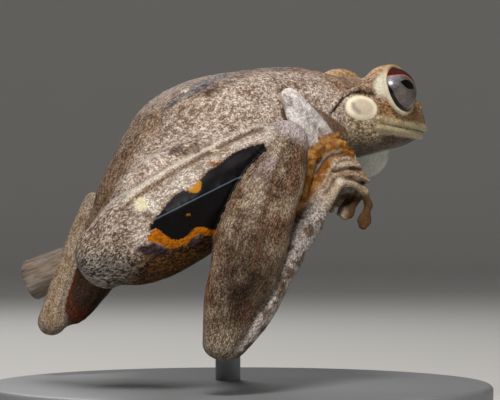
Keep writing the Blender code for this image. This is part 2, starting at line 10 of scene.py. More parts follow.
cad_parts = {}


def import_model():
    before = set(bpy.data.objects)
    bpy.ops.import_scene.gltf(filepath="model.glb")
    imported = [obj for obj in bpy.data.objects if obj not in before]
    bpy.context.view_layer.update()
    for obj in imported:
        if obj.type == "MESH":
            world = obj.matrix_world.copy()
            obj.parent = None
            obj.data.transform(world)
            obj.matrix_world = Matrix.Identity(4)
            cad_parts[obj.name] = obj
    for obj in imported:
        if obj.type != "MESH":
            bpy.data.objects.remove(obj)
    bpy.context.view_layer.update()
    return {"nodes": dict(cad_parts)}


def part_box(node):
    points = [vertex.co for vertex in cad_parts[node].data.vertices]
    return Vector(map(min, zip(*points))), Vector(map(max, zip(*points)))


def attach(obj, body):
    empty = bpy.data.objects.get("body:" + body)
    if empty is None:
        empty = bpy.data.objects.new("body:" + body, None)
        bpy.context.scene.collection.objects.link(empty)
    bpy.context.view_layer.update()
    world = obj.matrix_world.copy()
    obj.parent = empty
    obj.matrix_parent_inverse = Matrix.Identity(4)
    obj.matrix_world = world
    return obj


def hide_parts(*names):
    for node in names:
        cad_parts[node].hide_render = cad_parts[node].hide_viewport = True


MM = 0.001
TINY = 1e-6
FAR = 1e9
ACROSS = (0, 1, 0)

# Stand, in millimetres on the table
STAND_CENTRE = (20.0, 2.0)
BASE_RADIUS = 28.0
BASE_HEIGHT = 4.0
BASE_CHAMFER = 0.6
BASE_FOOT = 0.3

# Skin mesh: edge of the cubes it is drawn from, number of faces kept, how strongly plain parts give
# up faces, how far a smoothing step goes and comes back, and how near flank and ribs must be to join
SKIN_VOXEL = 0.17
SKIN_FACES = 190000
SPARE_FACTOR = 3.0
SMOOTH_STEP = 0.55
STEP_BACK = -0.57
FLANK_BRIDGE = 3.8

# How square the sections are: 2 is an oval
TRUNK_POWER = 2.25
SHANK_POWER = 2.2

# Eyes and other head features, in millimetres from the vent, the midline and the floor
EYE_CENTRE = (35.45, -5.3, 36.15)
EYE_RADIUS = 2.75
EYE_AXIS = (0.40, -0.85, 0.27)
GAZE_AXIS = (0.17, -0.94, 0.29)
PUPIL_SLANT = -16.0
LID_RADIUS = 3.19
LID_BACK = 0.5
LID_HEIGHT = 0.95
RIM_RADIUS = 0.24
TYMPANUM_CENTRE = (30.2, -7.0, 34.3)
TYMPANUM_RADII = (2.0, 1.35, 0.5)
TYMPANUM_TILT = (0.0, -1.0, 0.22)
NOSTRIL_BUMP = (41.0, -2.0, 34.6)
NOSTRIL_RADIUS = 0.72
NOSTRIL_PIT = (41.1, -2.75, 34.7)
SAC_CENTRE = (34.6, 0.0, 29.2)
SAC_RADII = (3.2, 3.6, 2.6)
EAR_FOLD = ((32.6, -6.2, 36.0, 0.4, 0.4), (30.6, -6.35, 36.3, 0.5, 0.5), (28.95, -6.55, 35.6, 0.5, 0.5))
SNOUT_RIDGE = ((37.6, -4.3, 36.3, 0.7, 0.7), (39.2, -2.9, 35.8, 0.6, 0.6), (40.5, -1.8, 35.2, 0.65, 0.65))

# Mouth: x and z of the line from the snout back to its corner
MOUTH_STEPS = (32.4, 34.5, 36.5, 38.5, 40.0, 41.2, 42.0)
MOUTH_LINE = ((46.0, 31.9), (41.0, 31.8), (35.5, 32.2), (32.6, 32.6))
MOUTH_FRONT = 42.7
MOUTH_OUT = 0.3
LIP_FRONT = 42.35
LIP_SETBACK = 0.12
LIP_RADIUS = 0.42

# Digits: radii, the disc at the tip, the skin between them and their gap to the twig
FINGER_RADIUS = 0.5
TIP_RADIUS = 0.44
DISC_WIDTH = 0.8
DISC_THICKNESS = 0.45
WEB_THICKNESS = 0.28
GAP = 0.3
PALM_BACK = -1.3
GRIP_ANGLES = (112.0, 80.0, 45.0, 10.0)

# Sizes of the skin's granules
GRANULE = 0.2
COARSE_GRANULE = 0.28

# Sections of the body: x, y, z, half width, half height above the centre, half height below it
TRUNK = (
    (2.3, 0.0, 20.9, 2.4, 2.1, 2.2),
    (3.9, 0.0, 22.1, 3.5, 3.2, 3.1),
    (6.4, 0.0, 24.7, 5.0, 4.6, 4.5),
    (10.3, 0.0, 27.9, 6.4, 6.0, 5.5),
    (12.9, 0.0, 30.0, 7.3, 6.4, 6.0),
    (16.1, 0.0, 31.2, 7.9, 6.5, 6.3),
    (20.6, 0.0, 32.3, 8.0, 6.2, 6.0),
    (24.5, 0.0, 33.3, 7.7, 5.6, 6.0),
    (28.0, 0.0, 33.5, 7.2, 5.0, 5.2),
    (30.0, 0.0, 33.4, 7.3, 4.6, 4.8),
    (33.0, 0.0, 33.2, 7.2, 4.8, 4.6),
    (36.0, 0.0, 33.0, 6.5, 4.4, 3.8),
    (38.3, 0.0, 32.9, 5.4, 3.7, 3.0),
    (40.0, 0.0, 32.9, 4.4, 2.9, 2.5),
    (41.3, 0.0, 32.9, 3.2, 2.3, 2.0),
    (42.2, 0.0, 32.9, 2.0, 1.6, 1.5),
)

# Loose skin of the flank, which fills the hollow between the trunk and the thigh
FLANK_RIGHT = (
    (2.0, -5.4, 22.0, 2.6, 2.6),
    (4.0, -6.4, 25.0, 3.3, 3.0),
    (7.9, -6.9, 27.4, 3.5, 3.0),
    (12.1, -6.9, 29.3, 3.1, 2.7),
    (16.3, -7.0, 30.9, 2.4, 2.1),
    (20.0, -6.9, 31.8, 1.6, 1.6),
)
FLANK_LEFT = (
    (6.5, 4.6, 25.6, 2.2, 2.2),
    (9.5, 6.2, 28.0, 3.0, 2.7),
    (12.5, 6.8, 29.4, 3.0, 2.6),
    (16.3, 7.0, 30.9, 2.4, 2.1),
    (20.0, 6.9, 31.8, 1.6, 1.6),
)

# Sections of the limbs: x, y, z, half width across, half width along the given up direction
THIGH_RIGHT = (
    (-0.6, -5.4, 18.3, 2.9, 3.4),
    (1.0, -6.6, 19.4, 3.8, 4.5),
    (3.4, -8.5, 21.0, 4.1, 5.1),
    (6.9, -10.4, 23.3, 3.9, 5.0),
    (11.6, -11.6, 26.3, 3.3, 4.0),
    (15.6, -12.5, 29.2, 2.7, 3.0),
)
THIGH_LEFT = (
    (7.0, 3.6, 23.2, 2.6, 3.0),
    (8.8, 5.6, 23.8, 3.3, 3.8),
    (11.0, 7.8, 24.9, 3.6, 4.1),
    (13.2, 9.8, 26.4, 3.4, 3.8),
    (15.2, 11.4, 27.8, 3.0, 3.2),
    (16.8, 12.6, 28.8, 2.5, 2.6),
)
SHANK_RIGHT = (
    (17.0, -12.9, 30.6, 2.3, 2.2),
    (15.8, -13.8, 28.3, 2.7, 2.5),
    (14.5, -14.5, 26.3, 3.25, 2.8),
    (12.9, -15.1, 24.0, 3.6, 2.9),
    (11.3, -15.4, 20.1, 4.0, 2.9),
    (10.4, -15.4, 16.6, 3.8, 2.8),
    (9.2, -15.2, 13.9, 3.2, 2.5),
    (8.6, -14.9, 11.2, 2.6, 2.2),
    (8.1, -14.7, 9.3, 2.0, 1.9),
)
SHANK_LEFT = (
    (17.8, 13.3, 29.4, 2.1, 2.1),
    (16.4, 14.2, 26.6, 2.6, 2.5),
    (14.7, 15.3, 23.6, 3.0, 2.7),
    (12.9, 16.6, 20.2, 3.0, 2.7),
    (11.4, 17.7, 17.0, 2.6, 2.6),
    (9.8, 18.8, 13.8, 2.1, 2.3),
    (8.3, 19.7, 11.4, 1.7, 1.9),
)
TARSUS_RIGHT = (
    (8.9, -14.9, 9.0, 1.5, 1.5),
    (11.9, -15.6, 12.6, 1.6, 1.5),
    (14.8, -15.3, 17.0, 1.65, 1.55),
    (18.2, -14.0, 20.7, 1.65, 1.45),
)
TARSUS_LEFT = (
    (6.2, 20.2, 10.4, 1.6, 1.6),
    (7.8, 20.4, 14.8, 1.4, 1.4),
    (9.8, 20.8, 19.4, 1.3, 1.3),
    (11.7, 21.0, 23.5, 1.2, 1.2),
)
HEEL_LEFT = ((6.2, 20.2, 10.5, 1.5, 1.5), (8.2, 19.8, 11.3, 1.6, 1.6))
UPPER_ARM = (
    (26.9, -6.3, 31.0, 1.6, 1.8),
    (24.4, -7.7, 32.0, 1.45, 1.5),
    (22.0, -8.8, 33.2, 1.35, 1.35),
    (20.5, -9.1, 33.9, 1.2, 1.2),
)
FOREARM_RIGHT = (
    (19.3, -9.8, 34.9, 1.2, 1.2),
    (21.0, -9.6, 33.5, 1.25, 1.25),
    (23.4, -8.8, 31.8, 1.15, 1.15),
    (25.7, -7.9, 30.2, 0.95, 0.95),
)
FOREARM_LEFT = (
    (19.3, 9.8, 34.9, 1.2, 1.2),
    (20.6, 9.3, 33.2, 1.25, 1.25),
    (22.4, 8.4, 30.8, 1.15, 1.15),
    (23.6, 7.4, 28.7, 0.95, 0.95),
)

# Loose skin under the right forearm
ARM_SKIN = ((19.0, -10.0, 32.9, 0.8, 0.8), (20.6, -9.8, 31.6, 1.0, 1.0), (22.4, -9.3, 30.2, 0.8, 0.8))

# Twig: x, y, z and radius along its length
PERCH = (
    (25.5, -12.1, 25.9, 0.95),
    (25.2, -8.0, 25.7, 1.1),
    (24.7, -4.0, 25.5, 1.2),
    (24.0, 0.0, 25.2, 1.3),
    (22.6, 5.0, 24.4, 1.45),
    (20.8, 10.0, 23.0, 1.75),
    (19.0, 15.0, 21.2, 1.9),
    (16.4, 19.5, 19.4, 2.0),
    (12.6, 25.0, 17.2, 2.2),
    (8.5, 30.0, 14.8, 2.4),
)

# Right foot: toe joints from the knuckle to the disc, outermost toe first
ANKLE_RIGHT = (19.4, -13.0, 21.3)
SOLE_UP = (-0.51, -0.70, 0.49)
TOES_RIGHT = (
    ((23.7, -12.8, 26.0), (25.5, -12.9, 26.1), (26.8, -12.8, 25.0), (27.5, -12.6, 23.7),
     (27.3, -12.5, 22.8)),
    ((23.7, -12.0, 26.7), (24.8, -11.9, 27.8), (26.4, -11.7, 27.9), (27.5, -11.5, 26.6),
     (27.4, -11.3, 24.8), (26.3, -11.2, 23.5)),
    ((23.6, -11.2, 27.6), (24.7, -11.0, 28.4), (26.3, -10.8, 28.2), (27.3, -10.6, 26.8),
     (27.2, -10.4, 25.0), (26.3, -10.3, 23.9)),
    ((23.4, -10.4, 28.4), (24.4, -10.2, 29.7), (26.0, -9.9, 30.0), (27.3, -9.7, 29.0),
     (27.6, -9.5, 27.3), (27.1, -9.4, 26.0)),
    ((22.7, -9.8, 29.2), (23.3, -9.7, 30.2), (24.1, -9.7, 30.6)),
)

# Way in which each toe's pad faces, or none where it faces the toe's inner side
TOE_PADS = ((-0.5, -0.84, 0.15), (-0.5, -0.84, 0.15), None, None, None)

# Skin between the toes, and the fold of skin on the foot's inner side
TOE_WEBS = ((24.0, -11.5, 27.2, 0.8, 0.7), (25.8, -11.3, 27.3, 0.8, 0.7), (26.9, -11.1, 26.7, 0.7, 0.6))
INNER_FOLD = (
    (18.3, -12.1, 22.0, 0.5, 0.5),
    (19.3, -12.0, 24.4, 0.6, 0.65),
    (20.2, -11.6, 26.6, 0.7, 0.75),
    (21.3, -10.8, 28.5, 0.7, 0.75),
    (22.7, -10.2, 29.5, 0.7, 0.75),
)

# Digits that grip the twig: y where each crosses the twig, end angle in degrees below the horizontal
ANKLE_LEFT = (11.9, 21.0, 24.0)
TOES_LEFT = ((22.6, 25.0), (21.3, 50.0), (20.1, 40.0), (18.9, 30.0), (17.9, 10.0))
FINGERS_RIGHT = ((-8.2, 20.0), (-7.0, 35.0), (-5.8, 30.0), (-4.7, 10.0))
FINGERS_LEFT = ((5.6, 20.0), (4.5, 35.0), (3.4, 30.0), (2.3, 10.0))

# Markings of the right side. Places are x, y, z in table millimetres; the left side mirrors them.
BACK_BAND = (
    (8.2, -3.0, 34.1), (10.7, -3.3, 35.5), (12.4, -3.2, 36.4), (13.7, -2.6, 37.0), (15.7, -1.9, 37.7),
    (18.0, -1.4, 38.3), (21.3, -1.7, 38.5), (22.6, -2.6, 38.3),
)
BAND_EDGE = ((12.2, -4.8, 35.5), (13.8, -4.6, 36.3), (15.5, -4.1, 37.0), (17.2, -3.6, 37.5))
BACK_SMUDGES = (
    ((7.2, -9.2, 29.0), (2.9, 2.4, 2.0), 0.8),
    ((7.3, -4.2, 31.7), (1.3, 1.5, 1.2), 0.6),
    ((4.3, -1.2, 29.4), (0.8, 1.0, 1.2), 0.8),
    ((7.2, -1.2, 33.4), (1.0, 1.2, 0.8), 0.7),
    ((20.2, -6.4, 36.4), (0.6, 0.8, 0.6), 0.8),
    ((22.6, -6.0, 36.3), (0.8, 0.9, 0.5), 0.6),
    ((3.5, -4.0, 27.0), (0.8, 1.0, 0.8), 0.4),
)
CREAM_SPOTS = (
    ((10.8, -2.4, 35.9), (0.5, 0.4, 0.35)),
    ((5.6, -2.0, 31.0), (0.25, 0.25, 0.25)),
    ((19.5, -5.0, 37.3), (0.3, 0.3, 0.16)),
)
THIGH_SPOTS = (((0.8, -10.8, 23.8), (0.6, 0.9, 0.75)), ((9.0, -11.3, 29.4), (0.35, 1.2, 0.35)))
THIGH_SMUDGES = (((-0.1, -10.6, 22.4), (0.9, 1.2, 0.6)), ((1.1, -11.7, 22.6), (0.6, 1.0, 0.5)))
RUST_FRINGE = ((8.3, -13.6, 27.9), (0.9, 0.9, 0.45))
# Crease under the fold above the ear: carved, and painted dark as the fold's shadow
EAR_CREASE = (
    (32.1, -6.7, 35.8), (30.3, -6.9, 36.0), (29.1, -6.9, 35.9), (28.0, -6.9, 35.3), (27.0, -7.2, 34.4),
    (25.9, -7.7, 33.4),
)
LID_CREAM = ((33.2, -7.3, 36.9), (1.2, 1.6, 1.5))
EAR_SMUDGE = ((29.0, -7.4, 34.7), (29.1, -7.4, 34.2), (29.7, -7.4, 33.8))
ARM_STRIPE = ((19.7, -9.7, 33.1), (21.0, -9.5, 31.9), (22.4, -9.0, 31.0), (24.0, -8.4, 30.0))

# Markings drawn flat, seen from behind the right side: millimetres across and up
VIEW_TURN = 31.0
BLACK_PATCH = (
    (18.8, 30.1), (17.5, 29.8), (15.6, 29.0), (14.2, 27.8), (13.1, 27.2), (12.3, 26.2), (12.1, 25.4),
    (11.8, 25.0), (10.9, 25.2), (10.2, 25.1), (9.1, 24.0), (7.8, 22.4), (6.9, 21.1), (7.2, 20.9),
    (7.8, 21.35), (8.3, 21.0), (9.0, 20.4), (9.8, 20.0), (11.0, 20.5), (11.8, 21.4), (12.7, 21.45),
    (13.7, 21.0), (16.0, 22.5), (19.8, 28.5),
)
ORANGE_BAND = (
    (6.8, 20.5), (7.3, 20.9), (7.8, 21.4), (9.0, 21.2), (11.8, 22.0), (13.7, 21.6), (14.8, 20.8),
    (13.2, 20.5), (12.4, 20.75), (11.7, 20.5), (11.0, 19.7), (10.2, 19.4), (9.5, 19.2), (8.8, 19.3),
    (8.1, 19.8), (6.9, 19.95),
)
ORANGE_BLOTCH = ((10.8, 25.1), (11.5, 25.6), (12.3, 26.25), (12.45, 25.9), (12.3, 25.0), (11.5, 24.9))
OCHRE_SPOT = ((11.0, 22.75), (0.38, 0.17))
PLUM_LEFT = ((5.7, 19.4), (6.3, 19.8), (8.2, 19.75), (8.9, 19.2), (8.9, 18.8), (8.2, 18.4), (6.9, 18.6))
PLUM_RIGHT = (
    (11.4, 20.1), (11.8, 20.5), (12.4, 20.7), (12.9, 20.4), (12.7, 19.9), (12.1, 19.6), (11.4, 19.7),
)
PALE_FOLD = ((5.2, 24.1), (6.0, 25.0), (7.35, 26.1), (8.6, 26.9), (9.8, 27.8), (11.4, 28.6))
# Ridge in the black patch: carved, and drawn with a painted bluish sheen
RIDGE_WITH_PAINTED_SHEEN = ((7.9, 22.3), (16.0, 26.4))
SHANK_GROOVE = ((21.0, 29.6), (20.5, 28.5), (19.9, 26.2), (19.15, 23.9), (18.4, 20.6), (17.8, 17.5))
# Lines between the toes: carved grooves, painted dark as shade in them
TOE_LINES = (((26.3, 27.3), (27.8, 27.6), (29.3, 27.4)), ((27.3, 26.65), (28.25, 26.5), (29.5, 25.9)))
FOOT_FOLDS = ((24.5, 27.1), (25.3, 28.4), (26.2, 29.1), (27.2, 29.2))
FOLD_STRIPE = (
    (4.6, 23.6), (7.25, 25.6), (9.2, 26.9), (11.6, 28.2), (14.2, 29.7), (16.5, 30.9), (18.6, 31.7),
)
TOE_PAD_SPOTS = (((27.0, 26.2), 0.9), ((28.3, 25.05), 0.6), ((28.9, 24.8), 0.5))
KNUCKLE_SPOT = (27.3, 30.4)

# Degrees round the shank's section beyond which its outer face ends
SHANK_FRONT = -20

# Marks with crisp edges, and a distance at which none of them shows. The line mark is painted shade in
# creases and the ridge mark a painted sheen.
MARKS = ("orange", "dark", "cream", "brown", "white", "line", "ridge", "thigh", "amber")
CLEAR = 3.0

# Colours of the granules and of the grooves on the tarsus and round the ankle
GREY_SKIN = ("C2BCB6", "665850")

# Forms that belong to the trunk's region, and the width in millimetres over which regions blend
PART_OF_TRUNK = {"flank": "trunk", "brow": "trunk"}
REGION_BLEND = 0.09

# Digits have more stations along them than this, and other forms of a foot or hand fewer
DIGIT_STATIONS = 20

# Random values along each side of the block that the soft clouds are drawn from
LATTICE = 64

# Regions whose fine pattern runs along a form, the radius it is drawn at and how much longer it gets
FLOW_FORMS = {
    "trunk": "trunk",
    "thigh": "thigh_right",
    "shank": "shank_right",
    "tarsus": "tarsus_right",
    "forearm": "forearm_right",
}
FLOW_RADIUS = 4.0
FLOW_STRETCH = 1.8

# Creases where two regions meet, with their depth, and the meeting places whose faces stay small
FORM_CREASES = (
    ("thigh", "trunk", 0.15),
    ("shank", "thigh", 0.12),
    ("tarsus", "shank", 0.3),
    ("forearm", "trunk", 0.2),
)
FINE_CREASES = (
    ("shank_right", "thigh_right"),
    ("tarsus_right", "shank_right"),
    ("forearm_right", "arm_right"),
)

# Marks of the skin: how far noise moves the edge, and the two ends of the soft edge
MARK_EDGES = (
    ("brown", 0.7, -0.15, 0.15),
    ("cream", 0.9, -0.1, 0.12),
    ("white", 0.6, -0.08, 0.1),
    ("orange", 0.45, -0.06, 0.08),
    ("dark", 0.45, -0.06, 0.08),
    ("line", 0.2, -0.08, 0.1),
    ("amber", 0.3, -0.08, 0.08),
)

# Marks with granules: strength, colour of the grooves and of the granules
MARK_TINTS = (
    ("brown", 0.85, "382212", "684830"),
    ("cream", 1.0, "B9B190", "D6CFAE"),
    ("white", 1.0, "D9D5CE", "F3F1EC"),
)

# Knots of the twig: millimetres along it, radians around it, reach
TWIG_KNOTS = ((27, 0.0, 1.6), (44, 1.2, 1.4))

# Camera: the place it looks at and its distance in table millimetres, lens and picture width
CAMERA_TARGET = (17.49, -4.68, 24.2)
CAMERA_DISTANCE = 280
CAMERA_LENS = 187.5
CAMERA_WIDTH = 36.0

# Lights: name, place, the place lit, width, power and colour
LIGHTS = (
    ("key", (-110, -170, 230), (15, -5, 27), 90, 1.0, (1.0, 0.97, 0.94)),
    ("fill", (120, -300, 20), (25, 0, 28), 200, 0.16, (0.93, 0.96, 1.0)),
    ("back", (60, 220, 200), (20, 0, 28), 160, 0.3, (1.0, 1.0, 1.0)),
)
ROOM_LIGHT = (0.78, 0.8, 0.83, 1.0)
ROOM_STRENGTH = 0.25

# Floor of the studio in metres: flat radius, radius of the curve, height of the wall
FLOOR_RADIUS = 0.6
FLOOR_CURVE = 0.25
FLOOR_WALL = 0.9


def linear(code):
    """Linear colour of an sRGB hex code."""
    channels = [int(code[i : i + 2], 16) / 255 for i in (0, 2, 4)]
    return np.array([c / 12.92 if c <= 0.04045 else ((c + 0.055) / 1.055) ** 2.4 for c in channels])


def row_place(point):
    """A place in table millimetres as row-frame metres."""
    return Vector(((point[0] - STAND_CENTRE[0]) * MM, (point[1] - STAND_CENTRE[1]) * MM, point[2] * MM))


def mirrored(rows):
    """The rows on the other side of the midline."""
    return tuple((row[0], -row[1], *row[2:]) for row in rows)


def on_side(place, side):
    """The place as given for the right side, or mirrored to the left for side -1."""
    return (place[0], place[1] * side, place[2])


def unit(vectors):
    """The vectors, one or many, at length 1."""
    return vectors / np.linalg.norm(vectors, axis=-1, keepdims=True)


def axis_turn(axis):
    """The rotation that takes the upright axis to the given one."""
    return np.array(Vector(axis).normalized().to_track_quat("Z", "Y").to_matrix())


def eye_axis(side=1):
    """The way in which the eyelids open, at length 1."""
    return np.array(Vector(on_side(EYE_AXIS, side)).normalized())


def between(along, marks, table):
    """Rows of the table at these places along its marks."""
    return np.array([np.interp(along, marks, column) for column in table.T]).T


def smooth_rows(rows, per_span):
    """Catmull-Rom points through the rows, every column at once."""
    table = np.array(rows, float)
    padded = np.vstack([2 * table[0] - table[1], table, 2 * table[-1] - table[-2]])
    out = []
    for before, start, end, after in zip(padded, padded[1:], padded[2:], padded[3:]):
        for t in np.arange(per_span) / per_span:
            bend = (2 * before - 5 * start + 4 * end - after) * t**2
            twist = (3 * start - before - 3 * end + after) * t**3
            out.append(0.5 * (2 * start + (end - before) * t + bend + twist))
    return np.array([*out, table[-1]])


def ring_faces(rings, sides):
    """Faces between rings of points, closed at both ends by the two single points that follow."""
    faces = []
    low = rings * sides
    last = low - sides
    for start in range(0, last, sides):
        for k in range(sides):
            after = (k + 1) % sides
            faces.append((start + k, start + after, start + after + sides, start + k + sides))
    for k in range(sides):
        after = (k + 1) % sides
        faces.append((low, after, k))
        faces.append((low + 1, last + k, last + after))
    return faces


class Form:
    """One round body part: its path, its frames and its sections."""

    def __init__(self, rows, up=(0, 0, 1), per_span=6, power=2.0, caps=(1.0, 1.0)):
        rows = [(*row, row[4]) if len(row) == 5 else row for row in rows]
        table = smooth_rows(rows, per_span)
        self.centres, self.radii = table[:, :3], table[:, 3:]
        self.up, self.power, self.caps = up, power, caps
        self.tangents = unit(np.gradient(self.centres, axis=0))
        self.sides = unit(np.cross(self.tangents, np.array(up, float)))
        self.tops = np.cross(self.sides, self.tangents)
        steps = np.linalg.norm(np.diff(self.centres, axis=0), axis=1)
        self.along = np.concatenate([[0.0], np.cumsum(steps)])

    def shell(self, sides=28, cap_rings=6):
        """Points and faces of the closed surface."""
        first, last = [], []
        for cap, end, sign, bulge in ((first, 0, -1, self.caps[0]), (last, -1, 1, self.caps[1])):
            reach = bulge * self.radii[end].mean()
            for k in range(1, cap_rings + 1):
                angle = 0.5 * math.pi * k / cap_rings
                centre = self.centres[end] + self.tangents[end] * sign * math.sin(angle) * reach
                cap.append((centre, end, math.cos(angle)))
        body = [(centre, i, 1.0) for i, centre in enumerate(self.centres)]
        rings = first[-2::-1] + body + last[:-1]
        turn = 2 * math.pi * np.arange(sides) / sides
        across, height = (np.sign(w) * np.abs(w) ** (2 / self.power) for w in (np.cos(turn), np.sin(turn)))
        points = []
        for centre, i, shrink in rings:
            half = np.where(height > 0, self.radii[i, 1], self.radii[i, 2])
            offset = np.outer(across * self.radii[i, 0], self.sides[i])
            offset += np.outer(height * half, self.tops[i])
            points.append(centre + offset * shrink)
        return np.vstack([*points, first[-1][0], last[-1][0]]), ring_faces(len(rings), sides)

    def place(self, points):
        """For each point: millimetres along, angle around in radians, and distance off the surface."""
        squared = (points**2).sum(1)[:, None] - 2 * points @ self.centres.T
        i = (squared + (self.centres**2).sum(1)[None]).argmin(1)
        offset = points - self.centres[i]
        ahead, across, height = ((offset * way[i]).sum(1) for way in (self.tangents, self.sides, self.tops))
        half = np.where(height > 0, self.radii[i, 1], self.radii[i, 2])
        outside = ((i == 0) & (ahead < 0)) | ((i == len(self.centres) - 1) & (ahead > 0))
        beyond = np.where(outside, ahead, 0.0)
        wide, high = across / self.radii[i, 0], height / half
        scale = (np.abs(wide) ** self.power + np.abs(high) ** self.power) ** (1 / self.power)
        scale = np.sqrt(scale**2 + (beyond / self.radii[i].mean(1)) ** 2)
        reach = np.sqrt(across**2 + height**2 + beyond**2)
        off = reach * (1 - 1 / np.maximum(scale, TINY))
        return self.along[i] + ahead, np.arctan2(high, wide), off

    def at(self, along, around, off):
        """The point at these millimetres along, radians around and distance off the surface."""
        tables = (self.centres, self.sides, self.tops, self.tangents, self.radii)
        centre, side, top, ahead, radii = (between(along, self.along, table) for table in tables)
        across, height = np.cos(around), np.sin(around)
        shrink = (np.abs(across) ** self.power + np.abs(height) ** self.power) ** (-1 / self.power)
        across = across * shrink * radii[:, 0]
        height = height * shrink * np.where(height > 0, radii[:, 1], radii[:, 2])
        grow = 1 + off / np.maximum(np.hypot(across, height), TINY)
        past = along - np.clip(along, 0, self.along[-1])
        offset = side * (across * grow)[:, None] + top * (height * grow)[:, None]
        return centre + offset + ahead * past[:, None]


def ball_shell(centre, radii, axis=(0, 0, 1), segments=40, rings=24):
    """An ellipsoid whose third radius lies along the axis."""
    shell = bmesh.new()
    bmesh.ops.create_uvsphere(shell, u_segments=segments, v_segments=rings, radius=1.0)
    turn = Vector(axis).normalized().to_track_quat("Z", "Y").to_matrix().to_4x4()
    shell.transform(Matrix.Translation(centre) @ turn @ Matrix.Diagonal((*radii, 1.0)))
    points = np.array([vertex.co for vertex in shell.verts])
    faces = [tuple(vertex.index for vertex in face.verts) for face in shell.faces]
    shell.free()
    return points, faces


def turned_shell(profile, centre, axis, sides=48):
    """A profile of (radius, height) turned about the axis, closed at both ends on the axis."""
    turn = 2 * math.pi * np.arange(sides) / sides
    inner = profile[1:-1]
    rings = [np.column_stack([r * np.cos(turn), r * np.sin(turn), np.full(sides, h)]) for r, h in inner]
    points = np.vstack([*rings, (0, 0, profile[0][1]), (0, 0, profile[-1][1])])
    return points @ axis_turn(axis).T + np.array(centre), ring_faces(len(inner), sides)


def quarter_round(radius, steps):
    """Sine and 1 - cosine, times the radius, over a quarter turn."""
    turns = (0.5 * math.pi * step / steps for step in range(1, steps + 1))
    return [(radius * math.sin(turn), radius * (1 - math.cos(turn))) for turn in turns]


def make_piece(name, shells, scale=True):
    """A mesh object from (points, faces) shells in table millimetres, faces outward."""
    faces = []
    start = 0
    for points, shell_faces in shells:
        faces.extend(tuple(index + start for index in face) for face in shell_faces)
        start += len(points)
    points = np.vstack([points for points, _ in shells])
    if scale:
        points = (points - np.array((*STAND_CENTRE, 0.0))) * MM
    mesh = bpy.data.meshes.new(name)
    mesh.from_pydata(points.tolist(), [], faces)
    work = bmesh.new()
    work.from_mesh(mesh)
    bmesh.ops.recalc_face_normals(work, faces=work.faces)
    work.to_mesh(mesh)
    work.free()
    for polygon in mesh.polygons:
        polygon.use_smooth = True
    obj = bpy.data.objects.new(name, mesh)
    bpy.context.scene.collection.objects.link(obj)
    return obj


TRUNK_FORM = Form(TRUNK, per_span=8, power=TRUNK_POWER, caps=(0.9, 0.25))


def head_side(x, z):
    """Half width of the trunk at a place on its side."""
    rows = np.array(TRUNK)
    centre, width, above, below = between(x, rows[:, 0], rows[:, 2:])
    half = above if z > centre else below
    reach = max(0.0, 1.0 - abs((z - centre) / half) ** TRUNK_POWER)
    return width * reach ** (1 / TRUNK_POWER)


def mouth_height(x):
    """Height at which the mouth closes."""
    return np.interp(x, [p[0] for p in MOUTH_LINE[::-1]], [p[1] for p in MOUTH_LINE[::-1]])


def mouth_path():
    """The line where the right half of the mouth closes."""
    side = [(x, -head_side(x, mouth_height(x)) - MOUTH_OUT, mouth_height(x)) for x in MOUTH_STEPS]
    return [*side, (MOUTH_FRONT, 0.0, MOUTH_LINE[1][1])]


def lip_path(lift):
    """Sections of a lip round the whole snout, raised from the mouth line."""
    right = []
    for x in MOUTH_STEPS:
        z = mouth_height(x) + lift
        right.append((x, LIP_SETBACK - head_side(x, z), z, LIP_RADIUS, LIP_RADIUS))
    front = (LIP_FRONT, 0.0, MOUTH_LINE[1][1] + lift, LIP_RADIUS, LIP_RADIUS)
    return (*right, front, *mirrored(right)[::-1])


def lid_mound(side):
    """The round mound of the eye, cut flat where the eyeball opens."""
    axis = Vector(on_side(EYE_AXIS, side)).normalized()
    centre = Vector(on_side(EYE_CENTRE, side)) - axis * LID_BACK
    level = LID_HEIGHT + LID_BACK
    top = math.asin(level / LID_RADIUS)
    angles = np.linspace(-math.pi / 2, top, 20)
    profile = [(LID_RADIUS * math.cos(a), LID_RADIUS * math.sin(a)) for a in angles]
    return turned_shell([*profile, (0.0, level)], centre, axis)


def lid_rim(side):
    """The thick rim of the eyelids round the eyeball."""
    radius = math.sqrt(LID_RADIUS**2 - (LID_HEIGHT + LID_BACK) ** 2) - 0.5 * RIM_RADIUS
    ring, tube = 72, 12
    points = []
    faces = []
    for i in range(ring):
        turn = 2 * math.pi * i / ring
        for k in range(tube):
            bend = 2 * math.pi * k / tube
            reach = radius + RIM_RADIUS * math.cos(bend)
            height = LID_HEIGHT + RIM_RADIUS * math.sin(bend)
            points.append((reach * math.cos(turn), reach * math.sin(turn), height))
            a, b = i * tube + k, i * tube + (k + 1) % tube
            faces.append((a, b, (b + tube) % (ring * tube), (a + tube) % (ring * tube)))
    turned = np.array(points) @ axis_turn(on_side(EYE_AXIS, side)).T
    return turned + np.array(on_side(EYE_CENTRE, side)), faces


def perch_at(y):
    """Centre, radius and direction of the twig where it crosses y."""
    table = smooth_rows(PERCH, 8)
    back, here, ahead = (between(place, table[:, 1], table) for place in (y - 0.5, y, y + 0.5))
    return here[:3], here[3], unit(ahead[:3] - back[:3])


def digit_rows(joints, first_radius):
    """Sections of a digit, swollen at its knuckles."""
    rows = []
    for i, (here, after) in enumerate(zip(joints, joints[1:])):
        radius = first_radius + (TIP_RADIUS - first_radius) * i / (len(joints) - 1)
        middle = [0.5 * (a + b) for a, b in zip(here, after)]
        rows.append((*here, radius * 1.08, radius * 1.08))
        rows.append((*middle, radius * 0.88, radius * 0.88))
    rows.append((*joints[-1], TIP_RADIUS, TIP_RADIUS))
    return rows


